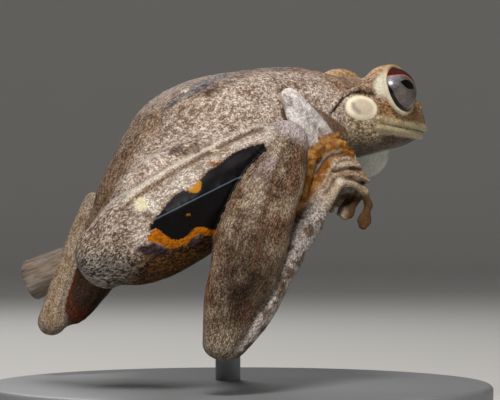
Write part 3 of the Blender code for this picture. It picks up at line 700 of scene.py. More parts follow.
def digit_forms(joints, up, first_radius, pad=None):
    """A digit and its wide flat disc, whose pad faces the given way or the digit's inner side."""
    before, tip = np.array(joints[-2]), np.array(joints[-1])
    step = unit(tip - before)
    if pad is None:
        pad = np.cross(step, up)
    rows = (
        (*(tip - 0.1 * step), TIP_RADIUS, TIP_RADIUS),
        (*(tip + 0.45 * step), DISC_WIDTH * 0.85, DISC_THICKNESS * 0.9),
        (*(tip + 0.95 * step), DISC_WIDTH, DISC_THICKNESS * 0.8),
        (*(tip + 1.5 * step), DISC_WIDTH * 0.6, DISC_THICKNESS * 0.6),
    )
    digit = Form(digit_rows(joints, first_radius), up=up, per_span=3)
    return [digit, Form(rows, up=pad, per_span=4, caps=(0.5, 0.9))]


def web(one, other, count, up):
    """A thin sheet of skin between two digits over their first joints."""
    rows = []
    for a, b in list(zip(one, other))[:count]:
        a, b = np.array(a), np.array(b)
        rows.append((*((a + b) / 2), WEB_THICKNESS, max(0.4, np.linalg.norm(a - b) / 2)))
    return Form(rows, up=up, per_span=3)


def webs(digits, count, up):
    """The webs between neighbouring digits."""
    return [web(one, other, count, up) for one, other in zip(digits, digits[1:])]


def gripping_joints(start, y, below):
    """Joints of a digit that starts at the palm, passes over the twig and curls down in front of it."""
    centre, perch_radius, along = perch_at(y)
    ahead = unit(np.cross(along, (0, 0, 1)))
    upward = np.cross(ahead, along)
    reach = perch_radius + GAP + FINGER_RADIUS + 0.05
    joints = [tuple(start)]
    for angle in (*GRIP_ANGLES, -below):
        turn = math.radians(angle)
        joints.append(tuple(centre + reach * (math.cos(turn) * ahead + math.sin(turn) * upward)))
    return joints


def hand_forms(wrist, fingers):
    """Palm and four fingers laid over the twig."""
    ys = [y for y, _ in fingers]
    middle, perch_radius, along = perch_at(sum(ys) / len(ys))
    palm_point = middle + np.array((PALM_BACK, 0.0, perch_radius + GAP + 0.75))
    digits = []
    for y, below in fingers:
        knuckle = perch_at(y)[0] + np.array((PALM_BACK, 0.0, perch_radius + GAP + 0.6))
        digits.append(gripping_joints(0.6 * palm_point + 0.4 * knuckle, y, below))
    wrist = np.array(wrist)
    palm = (
        (*wrist, 0.9, 0.9),
        (*(0.5 * wrist + 0.5 * palm_point), 1.1, 0.85),
        (*palm_point, 1.6, 0.7),
    )
    forms = [Form(palm, up=np.cross(palm_point - wrist, along), per_span=5)]
    for joints in digits:
        forms += digit_forms(joints, along, 0.5)
    return forms + webs(digits, 3, along)


def foot_right_forms():
    """Sole, five toes over the twig's tip and the webs between them."""
    ankle = np.array(ANKLE_RIGHT)
    middle = np.array(TOES_RIGHT[2][0])
    sole = (
        (*ankle, 1.6, 1.35),
        (*(0.6 * ankle + 0.4 * middle), 1.65, 1.0),
        (*(0.25 * ankle + 0.75 * middle), 2.0, 0.75),
        (*middle, 2.3, 0.6),
    )
    forms = [Form(sole, up=SOLE_UP, per_span=5)]
    for joints, pad in zip(TOES_RIGHT, TOE_PADS):
        start = 0.35 * ankle + 0.65 * np.array(joints[0])
        forms += digit_forms((start, *joints), ACROSS, 0.58, pad)
    forms += webs(TOES_RIGHT, 3, ACROSS)
    return [*forms, Form(INNER_FOLD, up=ACROSS, per_span=4), Form(TOE_WEBS, up=ACROSS, per_span=3)]


def foot_left_forms():
    """Sole and five toes laid over the twig behind the frog's left side."""
    ankle = np.array(ANKLE_LEFT)
    _, _, along = perch_at(TOES_LEFT[2][0])
    digits = []
    for y, below in TOES_LEFT:
        centre, perch_radius, _ = perch_at(y)
        digits.append(gripping_joints(centre + np.array((-2.0, 0.0, perch_radius + 0.9)), y, below))
    middle = np.array(digits[2][0])
    sole = (
        (*ankle, 1.15, 1.1),
        (*(0.5 * ankle + 0.5 * middle), 1.6, 0.9),
        (*middle, 2.4, 0.65),
    )
    forms = [Form(sole, up=np.cross(middle - ankle, along), per_span=5)]
    for joints in digits:
        forms += digit_forms(joints, along, 0.55)
    return forms + webs(digits, 4, along)


def both_sides(rows, **settings):
    """The form and its mirror image."""
    return [Form(rows, **settings), Form(mirrored(rows), **settings)]


def body_forms():
    """Every round form of the skin, by the part of the frog it belongs to."""
    thigh = {"caps": (0.9, 0.8)}
    shank = {"up": ACROSS, "per_span": 4, "power": SHANK_POWER, "caps": (0.8, 0.8)}
    return {
        "trunk": [TRUNK_FORM],
        "flank": [Form(FLANK_RIGHT), Form(FLANK_LEFT)],
        "lips": [Form(lip_path(0.45)), Form(lip_path(-0.36))],
        "brow": both_sides(SNOUT_RIDGE) + both_sides(EAR_FOLD, up=ACROSS),
        "thigh_right": [Form(THIGH_RIGHT, **thigh)],
        "thigh_left": [Form(THIGH_LEFT, **thigh)],
        "shank_right": [Form(SHANK_RIGHT, **shank)],
        "shank_left": [Form(SHANK_LEFT, **shank)],
        "tarsus_right": [Form(TARSUS_RIGHT, up=ACROSS)],
        "tarsus_left": [Form(TARSUS_LEFT, up=ACROSS), Form(HEEL_LEFT, up=ACROSS)],
        "arm_right": [Form(UPPER_ARM, up=ACROSS)],
        "arm_left": [Form(mirrored(UPPER_ARM), up=ACROSS)],
        "forearm_right": [Form(FOREARM_RIGHT, up=ACROSS), Form(ARM_SKIN, up=ACROSS)],
        "forearm_left": [Form(FOREARM_LEFT, up=ACROSS)],
        "foot_right": foot_right_forms(),
        "foot_left": foot_left_forms(),
        "hand_right": hand_forms(FOREARM_RIGHT[-1][:3], FINGERS_RIGHT),
        "hand_left": hand_forms(FOREARM_LEFT[-1][:3], FINGERS_LEFT),
    }


def evaluated(obj):
    """Applies the object's modifiers."""
    bpy.context.view_layer.update()
    graph = bpy.context.evaluated_depsgraph_get()
    result = bpy.data.meshes.new_from_object(obj.evaluated_get(graph))
    obj.modifiers.clear()
    old = obj.data
    obj.data = result
    bpy.data.meshes.remove(old)


def mesh_rows(items, key, width, kind=float):
    """The named values of the mesh's points or edges, one row for each."""
    values = np.empty(len(items) * width, kind)
    items.foreach_get(key, values)
    return values.reshape(-1, width)


def move_points(mesh, points):
    """Sets the places of all the mesh's points."""
    mesh.vertices.foreach_set("co", points.ravel())
    mesh.update()


def add_attribute(mesh, name, kind, values):
    """Stores a value, a place or a colour for each point."""
    if kind == "FLOAT_COLOR":
        values = np.column_stack([np.clip(values, 0, 1), np.ones(len(values))])
    key = {"FLOAT": "value", "FLOAT_VECTOR": "vector", "FLOAT_COLOR": "color"}[kind]
    mesh.attributes.new(name, kind, "POINT").data.foreach_set(key, values.ravel())


def smooth_points(points, edges, weight, rounds, back=SMOOTH_STEP):
    """Smoothing where the weight is above 0. With a step back below 0, thin forms keep their size."""
    count = len(points)
    degree = np.bincount(edges.ravel(), minlength=count)[:, None]
    for step in range(rounds * 2):
        total = np.zeros_like(points)
        for axis in range(3):
            total[:, axis] = np.bincount(edges[:, 0], points[edges[:, 1], axis], count)
            total[:, axis] += np.bincount(edges[:, 1], points[edges[:, 0], axis], count)
        move = total / degree - points
        points = points + move * weight[:, None] * (back if step % 2 else SMOOTH_STEP)
    return points


def off_of(forms, points):
    """Least distance off any of the forms."""
    return np.min([form.place(points)[2] for form in forms], axis=0)


def soft_step(t):
    """0 below 0, 1 above 1, smooth between."""
    t = np.clip(t, 0, 1)
    return t * t * (3 - 2 * t)


def near(distance, width):
    """1 at distance 0, falling smoothly to 0 at the width."""
    return soft_step(1 - np.abs(distance) / width)


def rise(value, low, high):
    """0 below the low value, 1 above the high one, smooth between."""
    return soft_step((value - low) / (high - low))


def cloud(points, size, seed):
    """Soft random values from 0 to 1 that change over the given size in millimetres."""
    lattice = np.random.default_rng(seed).random((LATTICE, LATTICE, LATTICE))
    total = np.zeros(len(points))
    for octave, share in ((1, 0.62), (2, 0.38)):
        place = points * octave / size + 7.3 * octave
        corner = np.floor(place).astype(int)
        part = place - corner
        part = part * part * (3 - 2 * part)
        for bits in range(8):
            step = np.array([bits & 1, bits >> 1 & 1, bits >> 2 & 1])
            weight = np.prod(np.where(step, part, 1 - part), axis=1)
            x, y, z = ((corner + step) % LATTICE).T
            total += share * weight * lattice[x, y, z]
    return rise(total, 0.2, 0.8)


def line_distance(points, path):
    """Distance from each point to a line through the places of the path."""
    path = np.array(path, float)
    best = np.full(len(points), FAR)
    for a, b in zip(path, path[1:]):
        step = b - a
        t = np.clip((points - a) @ step / (step @ step), 0, 1)
        best = np.minimum(best, np.linalg.norm(points - a - t[:, None] * step, axis=1))
    return best


def spot_distance(points, centre, radii):
    """Distance to the edge of an oval spot, negative inside it."""
    radii = np.array(radii, float)
    scale = np.linalg.norm((points - np.array(centre)) / radii, axis=1)
    return (scale - 1) * radii.min()


def outline_distance(flat, outline):
    """Distance to the closed outline in the flat side view, negative inside it."""
    outline = np.array([*outline, outline[0]], float)
    inside = np.zeros(len(flat), bool)
    for a, b in zip(outline, outline[1:]):
        if a[1] != b[1]:
            crosses = (a[1] > flat[:, 1]) != (b[1] > flat[:, 1])
            at = a[0] + (flat[:, 1] - a[1]) * (b[0] - a[0]) / (b[1] - a[1])
            inside ^= crosses & (flat[:, 0] < at)
    return line_distance(flat, outline) * np.where(inside, -1, 1)


def reach_to(points, place):
    """Distance from each point to one place."""
    return np.linalg.norm(points - np.array(place), axis=1)


def beside(flat, line):
    """Signed distance to the endless straight line through two flat places."""
    step = unit(np.array(line[-1]) - np.array(line[0]))
    return (flat - line[0]) @ np.array((-step[1], step[0]))


def side_view(points):
    """Flat places seen from behind the frog's right side: millimetres across and up."""
    turn = math.radians(VIEW_TURN)
    return np.column_stack([points[:, 0] * math.cos(turn) - points[:, 1] * math.sin(turn), points[:, 2]])


class Body:
    """The skin's points: how near each is to every region, and its matching place on the right side."""

    def __init__(self, groups, points):
        self.groups = groups
        self.points = points
        offs = {name: off_of(forms, points) for name, forms in groups.items()}
        self.flank, self.ribs = offs["flank"], offs["trunk"]
        self.off = {}
        for name, off in offs.items():
            region = PART_OF_TRUNK.get(name, name.split("_")[0])
            self.off[region] = np.minimum(self.off.get(region, FAR), off)
        table = np.array(list(self.off.values()))
        closeness = np.exp(-(table - table.min(0)) / REGION_BLEND)
        self.weight = dict(zip(self.off, closeness / closeness.sum(0)))
        self.home = self.right_places(offs)
        self.flat = side_view(self.home)
        self.flow = self.flow_places()
        self.parting = self.partings()

    def right_places(self, offs):
        """The left side's points mirrored, and its folded leg laid onto the right one."""
        home = self.points.copy()
        home[:, 1] = -np.abs(home[:, 1])
        nearest = np.array(list(offs.values())).argmin(0)
        for limb, rows in (("thigh", THIGH_LEFT), ("shank", SHANK_LEFT), ("tarsus", TARSUS_LEFT)):
            mine = nearest == list(offs).index(limb + "_left")
            right = self.groups[limb + "_right"][0]
            twin = Form(mirrored(rows), up=right.up, power=right.power)
            along, around, off = twin.place(home[mine])
            home[mine] = right.at(along * right.along[-1] / twin.along[-1], around, off)
        return home

    def flow_places(self):
        """Places for the fine pattern, stretched along each limb."""
        flow = self.home.copy()
        for region, name in FLOW_FORMS.items():
            along, around, _ = self.groups[name][0].place(self.home)
            turned = [along / FLOW_RADIUS / FLOW_STRETCH, np.cos(around), np.sin(around)]
            mine = self.weight[region] > 0.5
            flow[mine] = FLOW_RADIUS * np.column_stack(turned)[mine]
        return flow

    def partings(self):
        """1 on the lines between neighbouring digits, 0 away from them."""
        parting = np.zeros(len(self.points))
        for name in ("foot_right", "foot_left", "hand_right", "hand_left"):
            digits = [form for form in self.groups[name] if len(form.centres) > DIGIT_STATIONS]
            offs = [form.place(self.points)[2] for form in digits]
            for one, other in zip(offs, offs[1:]):
                close = near(np.maximum(one, other), 0.6)
                parting = np.maximum(parting, near(one - other, 0.35) * close)
        return parting

    def place(self, name):
        """Millimetres along a form of the right side, degrees around it."""
        along, around, _ = self.groups[name][0].place(self.home)
        return along, np.degrees(around)


class Paint:
    """Colours of the skin's granules and of the grooves between them, and the strength of its marks."""

    def __init__(self, count):
        self.pale = np.zeros((count, 3))
        self.deep = np.zeros((count, 3))
        self.marks = {name: np.full(count, -1.0) for name in MARKS}
        self.fields = {"mottle": np.full(count, 0.62), "grain": np.ones(count), "coarse": np.zeros(count)}

    def lay(self, mask, pale, deep, strength=1.0, **fields):
        """Lays granule and groove colours over the mask, and draws its fields to the given values."""
        cover = (mask * strength)[:, None]
        self.pale += (linear(pale) - self.pale) * cover
        self.deep += (linear(deep) - self.deep) * cover
        for name, value in fields.items():
            self.fields[name] += (value - self.fields[name]) * mask

    def mark(self, name, distance):
        """Adds an area of the mark, from its distance outside the edge."""
        self.marks[name] = np.maximum(self.marks[name], -distance)


# In the painting below, x, y and z are millimetres on the right side, along is millimetres from a
# form's first end and around is degrees round its section. The two colours laid are those of the
# granules and of the grooves between them. A cloud's last number is the seed it is drawn from.
def paint_trunk(body, paint):
    """Tan back with a broken dark band, paler flanks, whitish belly."""
    home, share = body.home, body.weight["trunk"]
    x, _, z = home.T
    along, around = body.place("trunk")
    paint.lay(share, "DACBBC", "6E5443")
    low = rise(-around, 5, 60) * rise(along, 8, 16)
    paint.lay(share * low, "BAAD9A", "6E5E4F")
    back = rise(around + 14 * (cloud(home, 3.0, 3) - 0.5), 44, 70)
    paint.lay(share * back, "B0947C", "46321F")
    paint.lay(share * back * rise(-x, -8.5, -1.0), "8E7660", "362519")
    rump = rise(0.35 * (24 - z) - x, -3.0, 3.0)
    paint.lay(share * rump * (1 - back), "B8A898", "3E2B1B")
    dark = near(line_distance(home, BACK_BAND), 1.5) * rise(cloud(home, 1.1, 5), 0.22, 0.5)
    paint.lay(share * dark, "6F6F7B", "1D1A20")
    dark = near(line_distance(home, BAND_EDGE), 0.9) * rise(cloud(home, 0.8, 6), 0.2, 0.5)
    paint.lay(share * dark, "6B4F3C", "2B1C13")
    broken = rise(cloud(home, 0.7, 8), 0.15, 0.55)
    for centre, radii, strength in BACK_SMUDGES:
        mask = rise(-spot_distance(home, centre, radii), -0.25, 0.55) * broken
        paint.lay(share * mask, "70543F", "2A1A10", strength)
    head = rise(x, 25, 29) * rise(around, 10, 40)
    paint.lay(share * head, "BE9F80", "5C402C")
    paint.lay(share * head * rise(cloud(home, 1.6, 9), 0.45, 0.8), "8E7568", "4A3830", 0.6)
    for spot in CREAM_SPOTS:
        paint.mark("cream", spot_distance(home, *spot))


def paint_head(body, paint):
    """Cheek granules, throat sac and lips, with painted shade under the jaw, under the lower lip and in the
    mouth's seam.
    """
    home, share = body.home, body.weight["trunk"]
    x, _, z = home.T
    _, around = body.place("trunk")
    face = rise(x, 26.5, 29.5) * rise(-around, -14, 2)
    paint.lay(share * face, "D2C09F", "57402A", coarse=0.7)
    cheek = rise(x, 31.5, 33) * rise(36 - z, 0, 1.5) * rise(z, 31.6, 32.0)
    paint.lay(share * cheek, "B48E64", "5E3A20")
    paint.lay(share * rise(x, 38.2, 40), "A98C68", "6A5236")
    # Painted shade under the jaw
    under = rise(30.9 - z, 0, 0.8) * rise(x, 28, 31)
    paint.lay(share * under, "746656", "382C24")
    # Painted shade right under the lower lip
    shade_under_lip = rise(31.5 - z, 0, 0.3) * rise(z, 29.6, 30.6) * rise(x, 32, 34)
    paint.lay(share * shade_under_lip, "6A5442", "2A1C14")
    sac = rise(-spot_distance(home, SAC_CENTRE, SAC_RADII), -0.8, 0.1) * rise(30.8 - z, 0, 0.8)
    paint.lay(share * sac, "C6C6BA", "8A8A82", mottle=0.35, grain=0.4)
    lips = np.clip(body.weight["lips"] * 1.3, 0, 1)
    paint.lay(lips, "C6B894", "85785A", grain=0.6)
    brown = rise(z, 32.2, 32.7) * rise(cloud(home, 0.8, 10), 0.3, 0.7)
    paint.lay(lips * brown, "A08660", "5E4A30", 0.7)
    # Dark mouth seam: painted shade in the crease between the lips
    paint.mark("line", line_distance(home, mouth_path()) - 0.1)


def paint_ear_and_lids(body, paint):
    """Pale ringed ear, the painted shadow under the fold above it, and the brown and cream eyelids."""
    home = body.home
    x, y, z = home.T
    ear = np.linalg.norm((home - TYMPANUM_CENTRE)[:, (0, 2)] / TYMPANUM_RADII[:2], axis=1)
    disc = rise(1.08 - ear, 0, 0.12) * rise(-y, 6.2, 6.6)
    paint.lay(disc, "CDBFA8", "AA9A80", grain=0.15, mottle=0.1)
    paint.lay(disc * near(ear - 0.86, 0.3), "EDE4CB", "D6CAA9")
    paint.lay(disc * near(line_distance(home, EAR_SMUDGE), 0.45), "9B9086", "7D7168")
    offset = home - np.array(EYE_CENTRE)
    level = offset @ eye_axis()
    mound = rise(4.3 - reach_to(home, EYE_CENTRE), 0, 0.6)
    paint.lay(mound * rise(z, 37.2, 38.6), "CDAA7E", "8A6440")
    cream = rise(-spot_distance(home, *LID_CREAM), -0.3, 0.4)
    paint.lay(cream, "D6D0BE", "B5AC98", grain=0.45)
    ring = np.linalg.norm(offset - level[:, None] * eye_axis(), axis=1)
    rim = rise(near(level - LID_HEIGHT - 0.1, 0.55) * near(ring - 2.72, 0.5), 0.1, 0.5)
    paint.lay(rim, "CEC4AC", "A89C7E", grain=0.15)
    front = rise(x, 35.6, 36.8) * rise(36.0 - z, 0, 1)
    paint.lay(rim * np.maximum(rise(z, 37.9, 38.7), 0.8 * front), "BE9C74", "8E6E4C")
    # Dark line in the crease under the fold above the ear: painted shadow of the fold
    paint.mark("line", line_distance(home, EAR_CREASE) - 0.17)


def paint_thigh(body, paint):
    """Whitish band, black patch edged with orange, granular brown underside darkened with painted shade."""
    home, flat, share = body.home, body.flat, body.weight["thigh"]
    x, _, z = home.T
    _, around = body.place("thigh_right")
    stripe = line_distance(flat, FOLD_STRIPE)
    paint.lay(share, "E2DAD0", "8A7664")
    mottled = rise(cloud(home, 1.4, 12), 0.35, 0.7) * near(stripe, 1.6)
    paint.lay(share * mottled, "9A8069", "5F4734", 0.8)
    # Dark brown underside: its own colour, drawn darker still as painted shade
    low = rise(-around - 10 * (cloud(home, 2.0, 13) - 0.5), 8, 34)
    paint.lay(share * low, "6E4A22", "0E0603", mottle=0.75, coarse=1.0)
    rump = rise(1.5 - x, 0, 3.0)
    paint.lay(share * rump, "CDBEAE", "503C2D", mottle=0.72, coarse=0.6)
    paint.lay(share * rump * rise(19.8 - z, 0, 2.5), "A29A90", "0E0907")
    plum = np.minimum(outline_distance(flat, PLUM_LEFT), outline_distance(flat, PLUM_RIGHT))
    plum = rise(0.5 * (cloud(home, 0.6, 14) - 0.5) - plum, -0.1, 0.15)
    paint.lay(share * plum, "4C363B", "181014")
    rust = rise(0.4 * (cloud(home, 0.6, 16) - 0.5) - spot_distance(home, *RUST_FRINGE), -0.1, 0.3)
    paint.lay(share * rust, "B06A1E", "4E250C")
    side = np.where((body.off["thigh"] < 3.0) & (body.off["trunk"] < 5.0), 0.0, CLEAR)
    ledge = near(line_distance(flat - (0.0, 0.42), FOLD_STRIPE), 0.3) * (side == 0)
    paint.lay(ledge, "F0E8DC", "C4B29E", 0.9)
    broken = rise(cloud(home, 0.7, 15), 0.2, 0.6)
    for spot in THIGH_SMUDGES:
        paint.lay(share * rise(-spot_distance(home, *spot), -0.3, 0.3) * broken, "8A705A", "3F2C20")
    fold = near(line_distance(flat, PALE_FOLD), 0.8) * (side == 0)
    paint.lay(fold, "E4DACB", "B7A592")
    others = np.min([off for name, off in body.off.items() if name != "thigh"], axis=0)
    away = np.where(body.off["thigh"] < others + 1.0, 0.0, CLEAR)
    paint.mark("thigh", body.off["thigh"] - others - 0.14)
    paint.mark("brown", stripe - 0.22 + side)
    paint.mark("dark", outline_distance(flat, BLACK_PATCH) + away)
    paint.mark("orange", outline_distance(flat, ORANGE_BAND) + away)
    paint.mark("amber", outline_distance(flat, ORANGE_BLOTCH) + away)
    paint.mark("amber", spot_distance(flat, *OCHRE_SPOT) + away)
    for spot in THIGH_SPOTS:
        paint.mark("cream", spot_distance(home, *spot) + away)
    # Where the painted sheen runs along the ridge in the black patch
    paint.marks["ridge"] = beside(flat, RIDGE_WITH_PAINTED_SHEEN)


def paint_shank(body, paint):
    """Grey-brown with darker mottling, lavender bloom above and a pale heel; the lower shank and the lower
    left shank are darkened with painted shade.
    """
    home, share = body.home, body.weight["shank"]
    along, around = body.place("shank_right")
    front = around < SHANK_FRONT
    paint.lay(share, "988370", "34251A")
    ruddy = rise(around, -112, -85) + rise(-around, 150, 172)
    paint.lay(share * np.clip(ruddy, 0, 1), "96755A", "43291A", 0.8)
    bloom = near(along - 5.5, 4.5) * near(around + 135, 30)
    paint.lay(share * bloom, "B9AAAE", "76655F", 0.8)
    paint.lay(share * rise(cloud(home, 2.2, 21), 0.5, 0.8), "C9BBA4", "7E6850", 0.55)
    paint.lay(share * rise(cloud(home, 1.3, 22), 0.55, 0.8), "7D6148", "3B2616", 0.5)
    # Dark lower shank: partly its own dark mottling, partly painted shade
    dark_mottle_and_shade = near(along - 17.0, 8.0) * near(around + 105, 95) * rise(cloud(home, 1.5, 23), -0.3, 0.3)
    paint.lay(share * dark_mottle_and_shade, "362416", "0F0804")
    paint.lay(share * rise(along, 20.8, 23.0), "BFB5A2", "5F4C3B", 0.8)
    groove = line_distance(body.flat, SHANK_GROOVE)
    paint.lay(share * near(groove, 0.5) * front, "6E5038", "301D12", 0.95)
    paint.mark("brown", groove - 0.04 + np.where((share > 0.5) & front, 0, CLEAR))
    paint.lay(share * rise(1.8 - along, 0, 1.5), "D2C8CC", "82746E", 0.8, mottle=0.45)
    edge = near(body.off["shank"] - body.off["thigh"] + 0.22, 0.22) * near(body.off["thigh"], 1.2)
    paint.lay(share * edge, "CDBFB0", "8A7360", 0.25)
    paint.fields["mottle"] += share * 0.12
    _, y, z = body.points.T
    # Painted shade over the left shank's lower part; its concealed orange side by the tarsus is drawn dark
    # in that shade
    shaded_left_shank = share * rise(y, 8.0, 9.0) * rise(24.0 - z, 0.0, 3.0)
    paint.lay(shaded_left_shank, "3C281A", "120A06", 0.95)
    paint.lay(shaded_left_shank * rise(1.3 - body.off["tarsus"], 0.0, 0.7), "6E3014", "32110A", 0.9)


def paint_ends(body, paint):
    """Spotted tarsus, brown upper arm, whitish forearm, tan hand, and the foot with its orange side and
    painted shade between its toes.
    """
    home, flat = body.home, body.flat
    x, _, z = home.T
    spots = rise(cloud(home, 0.75, 31), 0.55, 0.75)
    share = body.weight["tarsus"]
    paint.lay(share, *GREY_SKIN)
    paint.lay(share * spots, "6A503A", "342116", 0.85)
    paint.lay(share * rise(body.points[:, 1], 10.0, 11.0), "B09878", "5C4632", 0.7, mottle=0.5)
    paint.lay(body.weight["arm"], "94745A", "4A3122")
    share = body.weight["forearm"]
    _, around = body.place("forearm_right")
    paint.lay(share, "F8F4F2", "B4A8A0", mottle=0.36, grain=0.75)
    dots = np.maximum(near(around + 112, 34), 0.5) * rise(cloud(home, 0.42, 35), 0.35, 0.6)
    paint.lay(share * dots, "A08A7C", "5E4639", 0.8)
    paint.mark("white", line_distance(home, ARM_STRIPE) - 0.26 + np.where(share > 0.3, 0, CLEAR))
    paint.lay(body.weight["hand"], "BFAE96", "6F5A44")
    share = body.weight["foot"]
    paint.lay(share, "C6B49C", "6B523C", mottle=0.5, grain=0.7)
    paint.lay(share * spots, "8B6E55", "4A3324", 0.5)
    ankle = rise(5.0 - reach_to(home, ANKLE_RIGHT), 0, 3.5)
    paint.lay(share * ankle, *GREY_SKIN, mottle=0.6, grain=1.0)
    paint.lay(share * ankle * spots, "70563F", "38251A", 0.7)
    # Painted shade in the gaps between the digits
    paint.lay(share * body.parting, "4E3626", "22160F")
    share = share * (body.points[:, 1] < 0)
    wave = 0.5 * (cloud(home, 0.8, 33) - 0.5)
    inner = rise(z - 28.6 + wave, 0, 0.5)
    inner = np.maximum(inner, rise(z + 1.1 * (23.2 - x) - 27.4 + wave, 0, 0.7))
    paint.lay(share * inner, "A67C48", "5E3814", grain=0.6)
    paint.lay(share * inner * rise(cloud(home, 0.7, 34), 0.35, 0.7), "86500F", "4A2605")
    paint.lay(share * near(reach_to(flat, KNUCKLE_SPOT), 0.8), "D8A850", "94621C")
    # Painted shade in the grooves between the toes
    for path in TOE_LINES:
        paint.lay(share * near(line_distance(flat, path), 0.36), "3A281C", "1A100A")
    paint.lay(share * near(z - 27.0, 1.0) * rise(x, 23.5, 24.5), "8A6A52", "4A3222", 0.5)
    for lift, pale, deep in ((0.0, "2C2622", "14100E"), (-0.24, "6E7076", "34363A")):
        line = near(line_distance(flat - (lift, -0.5 * lift), FOOT_FOLDS), 0.2)
        paint.lay(share * line, pale, deep, grain=0.1)
    for place, reach in TOE_PAD_SPOTS:
        pad = near(reach_to(flat, place), reach)
        paint.lay(share * rise(pad, 0.0, 0.9), "E4DAC6", "A08E78", 0.8)
    under = rise(25.6 - z, 0, 1.4) * rise(x, 25.0, 25.8)
    paint.lay(share * under, "553718", "221206", 0.95, grain=0.35)


def paint_skin(body):
    """All colours and marks of the skin, one value for each point."""
    paint = Paint(len(body.points))
    paint_trunk(body, paint)
    paint_thigh(body, paint)
    paint_shank(body, paint)
    paint_ends(body, paint)
    paint_head(body, paint)
    paint_ear_and_lids(body, paint)
    return paint


def carve(body, normals):
    """How far each point moves along its normal: folds, creases and soft lumps, in millimetres."""
    home, flat, weight = body.home, body.flat, body.weight
    on_shank = weight["shank"] * (body.place("shank_right")[1] < SHANK_FRONT)
    off_thigh = np.where(body.off["thigh"] < 2.5, 0, FAR)
    folded_skin = weight["foot"] * rise(home[:, 2], 28.3, 29.0)
    back = rise(27 - home[:, 0], 0, 2) * weight["trunk"]
    move = 0.07 * (cloud(body.points, 1.3, 41) - 0.5) * (1 - weight["lips"])
    move += 0.12 * (cloud(body.points, 0.7, 44) - 0.5) * back
    move += 0.3 * folded_skin * (cloud(home * (1, 1, 2.0), 0.9, 43) - 0.5)
    move -= 0.17 * body.parting
    for height, width, distance, where in (
        (-0.22, 0.4, line_distance(home, EAR_CREASE), 1),
        (0.2, 0.6, line_distance(home - (0.0, 0.0, 0.45), EAR_CREASE), 1),
        (-0.16, 0.5, line_distance(flat, SHANK_GROOVE), on_shank),
        (0.13, 0.3, line_distance(flat, RIDGE_WITH_PAINTED_SHEEN), weight["thigh"]),
        (-0.1, 0.35, line_distance(flat, FOLD_STRIPE) + off_thigh, 1),
        (0.12, 0.45, line_distance(flat - (0.0, 0.45), FOLD_STRIPE) + off_thigh, 1),
        (-0.12, 0.2, line_distance(home, mouth_path()), 1),
        (-0.5, 0.42, reach_to(home, NOSTRIL_PIT), 1),
        *((-0.2, 0.3, line_distance(flat, path), weight["foot"]) for path in TOE_LINES),
    ):
        move += height * near(distance, width) * where
    for one, other, depth in FORM_CREASES:
        one, other = body.off[one], body.off[other]
        move -= depth * near(one - other, 0.55) * near(np.maximum(one, other), 0.9)
    return move[:, None] * normals


def build_skin(groups):
    """One closed skin round all the forms, its vertices still in table millimetres."""
    shells = [form.shell() for forms in groups.values() for form in forms if form is not TRUNK_FORM]
    shells.append(TRUNK_FORM.shell(sides=96, cap_rings=8))
    shells.append(ball_shell(SAC_CENTRE, SAC_RADII))
    for side in (1, -1):
        ear = ball_shell(on_side(TYMPANUM_CENTRE, side), TYMPANUM_RADII, on_side(TYMPANUM_TILT, side))
        nostril = ball_shell(on_side(NOSTRIL_BUMP, side), (NOSTRIL_RADIUS,) * 3)
        shells += [lid_mound(side), lid_rim(side), nostril, ear]
    skin = make_piece("skin", shells, scale=False)
    modifier = skin.modifiers.new("one surface", "REMESH")
    modifier.mode = "VOXEL"
    modifier.voxel_size = SKIN_VOXEL
    evaluated(skin)
    thin_out(skin, near_fine_forms(groups, mesh_rows(skin.data.vertices, "co", 3)))
    mesh = skin.data
    points = mesh_rows(mesh.vertices, "co", 3)
    edges = mesh_rows(mesh.edges, "vertices", 2, np.int64)
    points = smooth_points(points, edges, np.ones(len(points)), 3, STEP_BACK)
    body = Body(groups, points)
    bridge = near(body.flank, FLANK_BRIDGE) * near(body.ribs, FLANK_BRIDGE)
    points = smooth_points(points, edges, bridge, 110)
    points = smooth_points(points, edges, crease_filling(body), 7)
    move_points(mesh, points)
    body = Body(groups, points)
    paint = paint_skin(body)
    move_points(mesh, points + carve(body, mesh_rows(mesh.vertex_normals, "vector", 3)))
    add_attribute(mesh, "pale", "FLOAT_COLOR", paint.pale)
    add_attribute(mesh, "deep", "FLOAT_COLOR", paint.deep)
    add_attribute(mesh, "flow", "FLOAT_VECTOR", body.flow * MM)
    for name, values in {**paint.marks, **paint.fields}.items():
        add_attribute(mesh, name, "FLOAT", values)
    return skin


def thin_out(skin, spare):
    """Takes faces out of the skin, first where the spare value is high."""
    group = skin.vertex_groups.new(name="spare")
    for step in range(11):
        chosen = np.nonzero(np.round(spare * 10) == step)[0]
        group.add(chosen.tolist(), step / 10, "REPLACE")
    modifier = skin.modifiers.new("fewer faces", "DECIMATE")
    modifier.ratio = SKIN_FACES / (2 * len(skin.data.polygons))
    modifier.vertex_group = "spare"
    modifier.vertex_group_factor = SPARE_FACTOR
    modifier.use_collapse_triangulate = True
    evaluated(skin)


def near_fine_forms(groups, points):
    """0 by the face, feet and hands, whose faces stay small, and 1 on the plain parts."""
    fine = np.full(len(points), FAR)
    for name, forms in groups.items():
        if name.startswith(("foot", "hand", "brow", "lips")):
            fine = np.minimum(fine, off_of(forms, points))
    for side in (1, -1):
        for centre, reach in ((EYE_CENTRE, 4.5), (TYMPANUM_CENTRE, 2.2), (NOSTRIL_BUMP, 1.5)):
            fine = np.minimum(fine, reach_to(points, on_side(centre, side)) - reach)
    for one, other in FINE_CREASES:
        one, other = off_of(groups[one], points), off_of(groups[other], points)
        fine = np.minimum(fine, 2 * np.abs(one - other) + np.maximum(one, other))
    return rise(fine, 0.3, 2.0)


